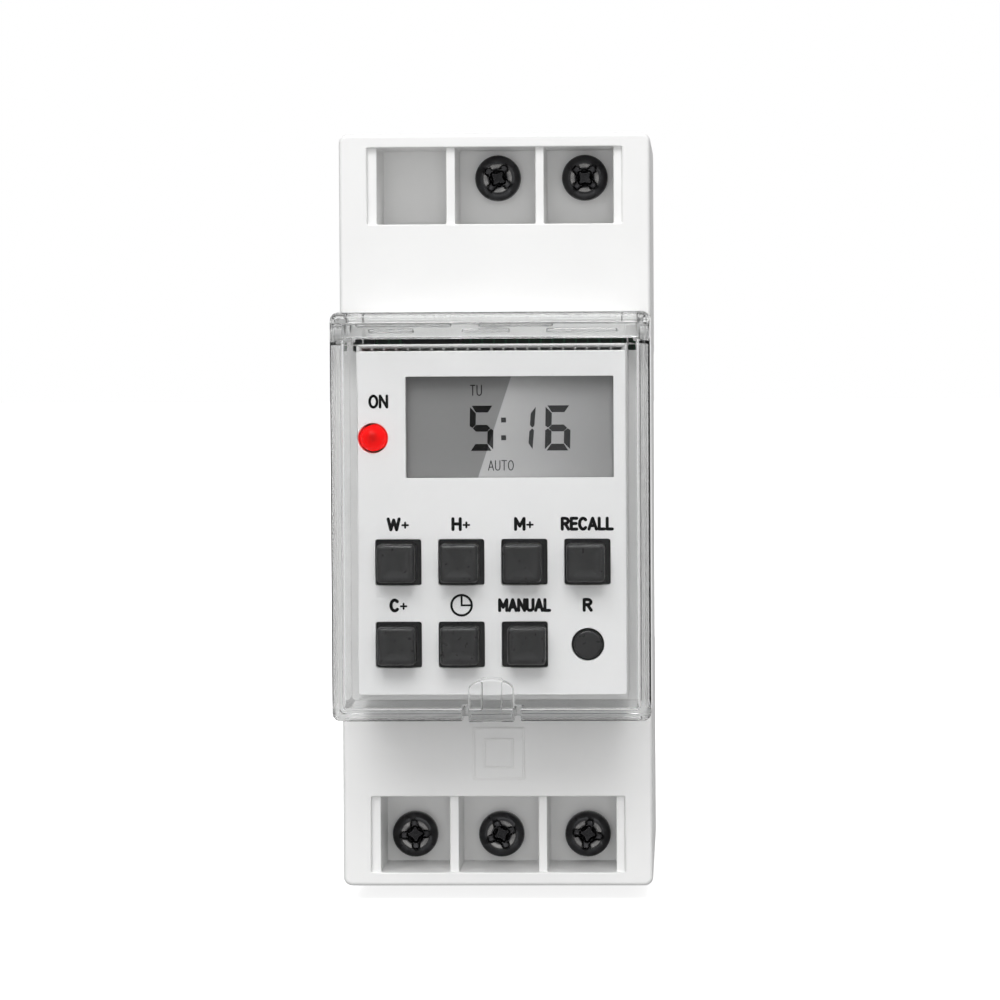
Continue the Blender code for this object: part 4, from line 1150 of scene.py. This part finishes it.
def screw_head_profile(front, rear):
    """A pan head with a shallow dish in its face and a small edge round."""
    profile = [(front + depth, reach) for depth, reach in SCREW_DISH]
    for i in range(7):
        turn = radians(15 + 75 * i / 6)
        profile.append((front + 0.9 - 0.9 * cos(turn), HEAD_RADIUS - 0.85 * (1 - sin(turn))))
    return profile + [(rear - 0.1, HEAD_RADIUS), (rear, HEAD_RADIUS - 0.1)]


def terminal_screw(number):
    name = f"terminal_screw_{number}"
    spot = extent(name)
    x, z = front_middle(spot)
    front, tip = spot[1]
    under_head = CELL_FLOOR_Y - GAP
    profile = screw_head_profile(front, under_head)
    profile.append((under_head, 1.5))
    y = under_head + 0.35
    while y + THREAD_PITCH < tip - 0.4:
        profile += [(y, 1.45), (y + 0.22, 1.75), (y + 0.32, 1.75)]
        y += THREAD_PITCH
    profile += [(tip - 0.3, 1.4), (tip, 1.1)]
    screw = make(f"screw_{number}", solid(add_turned, x, z, profile, 40))
    combine(screw, "DIFFERENCE", cross_recess(x, z, front, radians(SCREW_TURNS[number - 1])))
    soften(screw, 0.1, 3, radians(40))
    paint_highlight_ring(screw, x, z, front)
    dress(screw, "screw", f"screw_{number}", "black_screw", name)


def paint_highlight_ring(screw, x, z, front):
    """Marks the slope of the dish, between the wings, for a painted highlight in a brighter bare-metal
    colour.
    """
    layer = screw.data.attributes.new(HIGHLIGHT_LAYER, "FLOAT", "POINT")
    for point, mark in zip(screw.data.vertices, layer.data):
        reach = hypot(point.co.x / MM - x, point.co.z / MM - z)
        on_slope = HIGHLIGHT_RING[0] < reach < HIGHLIGHT_RING[1] and point.co.y / MM < front + HIGHLIGHT_DEPTH
        mark.value = 1.0 if on_slope else 0.0


def cross_recess(x, z, front, turn):
    """A cross recess with round-ended, tapering wings about a hollow middle."""
    loops = []
    for depth, arm, half, waist in RECESS_LEVELS:
        neck = arm - WING_END
        end = half * 0.5
        wing = ((waist, -half), (neck, -half), (arm, -end), (arm, end), (neck, half), (waist, half))
        loop = []
        for quarter in range(4):
            base = turn + quarter * pi / 2
            for along, across in wing:
                px = along * cos(base) - across * sin(base)
                pz = along * sin(base) + across * cos(base)
                loop.append((x + px, front + depth, z + pz))
        loops.append(loop)
    return solid(add_loft, loops)


# Flip cover


def cover_side_outline():
    """The cover seen from the side: square in front, round about the hinge at its upper rear corner."""
    front = COVER[1][0] - OVERCUT
    low = COVER_Z[0] - OVERCUT
    outline = [(COVER_REAR_Y, low), (front, low), (front, COVER_Z[1] + OVERCUT)]
    start = asin((COVER_Z[1] - HINGE_Z) / BARREL_RADIUS)
    end = acos((COVER_REAR_Y - HINGE_Y) / BARREL_RADIUS)
    outline.append((HINGE_Y + BARREL_RADIUS * cos(start), COVER_Z[1] + OVERCUT))
    reach = (BARREL_RADIUS, BARREL_RADIUS)
    return outline + bow((HINGE_Y, HINGE_Z), reach, degrees(start), degrees(end), 16)


def thumb_tab():
    """A pad with a domed upper edge, proud of the cover's front at the middle of its lower edge."""
    loops = []
    rise = 1.3
    spring_z = TAB_TOP_Z - rise
    profile = fillet(COVER_FRONT_Y - TAB_PROUD, 0.35, 4) + [(COVER_FRONT_Y + BITE, 0)]
    for y, inset in profile:
        half = TAB_HALF_X - inset
        low = COVER_Z[0] + inset
        dome = bow((0, spring_z), (half, rise - inset), 0, 180, 16)
        loops.append([(px, y, pz) for px, pz in [(-half, low), (half, low)] + dome])
    return solid(add_loft, loops)


def flip_cover():
    profile = fillet(COVER_FRONT_Y, COVER_FILLET, 8) + [(COVER_REAR_Y, 0)]
    cover = make("cover_shell", solid(add_plate, COVER_X, COVER_Z, COVER_FILLET + 0.05, profile, 8))
    across = grown(COVER_X, OVERCUT)
    combine(cover, "INTERSECT", solid(add_side_outline, cover_side_outline(), across))
    pane_y = COVER_FRONT_Y + COVER_WALL
    open_y = COVER_REAR_Y + OVERCUT
    inner_x = grown(COVER_X, -COVER_WALL)
    hollow_z = (COVER_Z[0] + COVER_WALL, TOP_BAR_Z)
    hollow_profile = fillet(pane_y, 0.4, 5) + [(open_y, 0)]
    hollow = solid(add_plate, inner_x, hollow_z, 0.45, hollow_profile, 5, square_top=True)
    upper_z = (TOP_BAR_Z - OVERCUT, COVER_Z[1] - COVER_WALL)
    bar_y = COVER_FRONT_Y + TOP_BAR_THICK
    upper_profile = fillet(bar_y, 0.25, 4) + [(open_y, 0)]
    upper = solid(add_plate, grown(inner_x, -0.05), upper_z, 0.3, upper_profile, 4)
    above_hinge = (HINGE_Z, COVER_Z[1] + OVERCUT)
    relief = boxes((grown(inner_x, -GAP), (HINGE_Y + 0.7, open_y), above_hinge))
    lug_room = both_sides(grown(LUG_X, GAP), (HINGE_Y - LUG_ROOM, open_y), above_hinge)
    holes = solid(add_rod, across, HINGE_Y, HINGE_Z, PIN_HOLE_RADIUS, 32)
    groove_y = (bar_y - GROOVE_DEEP, bar_y + OVERCUT)
    grooves = boxes(*((x, groove_y, z) for z, row in TOP_BAR_GROOVES for x in row))
    combine(cover, "DIFFERENCE", hollow, upper, grooves, relief, lug_room, holes)
    combine(cover, "UNION", thumb_tab())
    notch_y = (COVER_FRONT_Y - OVERCUT, NOTCH_REAR_Y)
    notch_z = (COVER_Z[0] - OVERCUT, NOTCH_TOP_Z)
    combine(cover, "DIFFERENCE", both_sides(NOTCH_X, notch_y, notch_z))
    stud_y = (pane_y - BITE, PANEL_FRONT_Y - 0.6)
    combine(cover, "UNION", boxes((STUD_X, stud_y, (COVER_Z[0] + BITE, STUD_TOP_Z))))
    soften(cover, 0.12, 3)
    cover.visible_shadow = False
    dress(cover, "clear", "cover", "clear_plastic", "flip_cover")


# Carried-over nodes

INNER_ROUND = 0.08
CARRIED = {
    "board": ["display_board", "power_board"],
    "zinc": ["backup_battery", "clock_crystal"] + [f"terminal_cage_{i}" for i in range(1, TERMINALS + 1)],
    "copper": [f"contact_bar_{i}" for i in range(1, TERMINALS + 1)],
    "epoxy": ["controller_chip", "bridge_rectifier", "board_header", "smoothing_capacitor"],
    "blue": ["relay"],
    "yellow": ["dropper_capacitor"],
    "varistor": ["varistor"],
    "silicone": ["keypad_mat", "lcd_strip_upper", "lcd_strip_lower"],
    "white": ["lcd_frame"],
    "carbon": [f"contact_pill_{i}" for i in range(1, len(KEYS) + 2)],
}


def carry_over():
    """Inner parts keep their CAD shape, with rounded edges and a finish of their own."""
    for finish, names in CARRIED.items():
        for name in names:
            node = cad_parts[name]
            node.data.materials.clear()
            node.data.materials.append(M[finish])
            weld = node.modifiers.new("weld", "WELD")
            weld.merge_threshold = TINY * MM
            rounding = node.modifiers.new("rounding", "BEVEL")
            rounding.width = INNER_ROUND * MM
            rounding.segments = 2
            rounding.limit_method = "ANGLE"
            rounding.angle_limit = radians(50)


# Stage, light and camera

CAMERA_PLACE = (21.992, -569.42, 22.606)
CAMERA_YAW = 0.040974
CAMERA_PITCH = -0.040566
CAMERA_ROLL = -0.0056653
CAMERA_LENS = 164.05
SENSOR = 36.0


def camera():
    data = bpy.data.cameras.new("camera")
    data.sensor_width = SENSOR
    data.lens = CAMERA_LENS
    data.clip_start = 0.01
    made = link("camera", data)
    yaw = Matrix.Rotation(-CAMERA_YAW, 3, "Z")
    pitch = Matrix.Rotation(-CAMERA_PITCH, 3, "X")
    across, ahead, up = pitch @ yaw
    right = across * cos(CAMERA_ROLL) + up * sin(CAMERA_ROLL)
    top = up * cos(CAMERA_ROLL) - across * sin(CAMERA_ROLL)
    rotation = Matrix((right, top, -ahead)).transposed()
    made.matrix_world = Matrix.Translation(Vector(CAMERA_PLACE) * MM) @ rotation.to_4x4()
    bpy.context.scene.camera = made


FLOOR_Z = CLIP[2][0]
FLOOR_REACH = 3000
FLOOR_GLOW = (20, 160)


def stage():
    """A wide pale floor that brightens into the white surroundings."""
    outline = rounded_rectangle(*around(0, 0, FLOOR_REACH), 0)
    floor = make("floor", solid(add_loft, [[(x, y, z) for x, y in outline] for z in (FLOOR_Z - 5, FLOOR_Z)]))
    made = Nodes("floor_paper")
    speck = made.noise(0.02, detail=3.0)
    made.set("Base Color", made.mix(speck, grey(0.93), grey(0.95)))
    made.set("Roughness", 0.9)
    reach = made.add("VectorMath")
    reach.operation = "LENGTH"
    made.feed(made.vector, reach.inputs[0])
    glow = made.range(reach.outputs["Value"], *FLOOR_GLOW, 0.0, 1.0)
    made.set("Emission Color", made.mix(glow, grey(0.45), grey(0.95)))
    made.set("Emission Strength", 1.0)
    floor.data.materials.append(made.material)
    floor.visible_diffuse = False
    floor.visible_glossy = False
    floor.visible_transmission = False


def softbox(name, place, size, power, mirrored_in_gloss=True):
    """A rectangular lamp that faces the origin."""
    data = bpy.data.lights.new(name, "AREA")
    data.shape = "RECTANGLE"
    data.size, data.size_y = size
    data.energy = power
    made = link(name, data)
    made.visible_glossy = mirrored_in_gloss
    made.visible_transmission = mirrored_in_gloss
    made.location = place
    way = Vector() - Vector(place)
    made.rotation_euler = way.to_track_quat("-Z", "Y").to_euler()


WORLD_LOW = 0.5
WORLD_HIGH = 1.25
WORLD_RISE = (-0.6, 0.8)
WORLD_DIMS = (("X", 0.2, 0.9, 0.2), ("X", -0.2, -0.9, 0.22), ("Z", 0.55, 1.0, 0.3))
DARK_WAY = (-0.043, -0.998, -0.045)
DARK_COSINES = (0.986, 0.9935)
DARK_LEVEL = 0.15


def surroundings():
    """White to the eye; as a light, brighter above and dim at the sides, overhead and straight in front."""
    world = bpy.data.worlds.new("surroundings")
    bpy.context.scene.world = world
    world.use_nodes = True
    made = Tree(world.node_tree)
    made.tree.nodes.clear()
    way = made.add("TexCoord").outputs["Generated"]
    parts = made.split(way)
    light = made.range(parts["Z"], *WORLD_RISE, WORLD_LOW, WORLD_HIGH)
    for axis, start, end, least in WORLD_DIMS:
        light = made.math("MULTIPLY", light, made.range(parts[axis], start, end, 1.0, least))
    facing = made.add("VectorMath")
    facing.operation = "DOT_PRODUCT"
    facing.inputs[1].default_value = DARK_WAY
    made.feed(way, facing.inputs[0])
    spot = made.range(facing.outputs["Value"], *DARK_COSINES, 1.0, DARK_LEVEL)
    light = made.math("MULTIPLY", light, spot)
    path = made.add("LightPath").outputs
    unshaded = made.math("LESS_THAN", path["Diffuse Depth"], 0.5)
    onward = made.math("GREATER_THAN", parts["Y"], 0.2)
    through = made.math("MULTIPLY", made.math("MULTIPLY", path["Is Transmission Ray"], unshaded), onward)
    seen = made.math("MAXIMUM", path["Is Camera Ray"], through)
    mix = made.add("MixShader")
    made.feed(seen, mix.inputs["Fac"])
    for socket, strength in ((mix.inputs[1], light), (mix.inputs[2], None)):
        background = made.add("Background")
        background.inputs["Color"].default_value = (1, 1, 1, 1)
        if strength:
            made.feed(strength, background.inputs["Strength"])
        made.feed(background.outputs["Background"], socket)
    made.feed(mix.outputs["Shader"], made.add("OutputWorld").inputs["Surface"])


def lights():
    surroundings()
    softbox("key_softbox", (-0.12, -0.85, 1.05), (1.1, 0.7), 11.8)
    softbox("front_fill", (0.0, -1.3, -0.1), (0.4, 0.4), 4.9, mirrored_in_gloss=False)
    bpy.context.scene.view_settings.view_transform = "Standard"


front_housing()
emblem()
rear_base()
rail_clip()
clip_spring()
control_panel()
for key_name in KEYS:
    key_cap(key_name)
reset_button()
status_lamp()
panel_legends()
display()
for screw_number in range(1, TERMINALS + 1):
    terminal_screw(screw_number)
flip_cover()
carry_over()
stage()
lights()
camera()
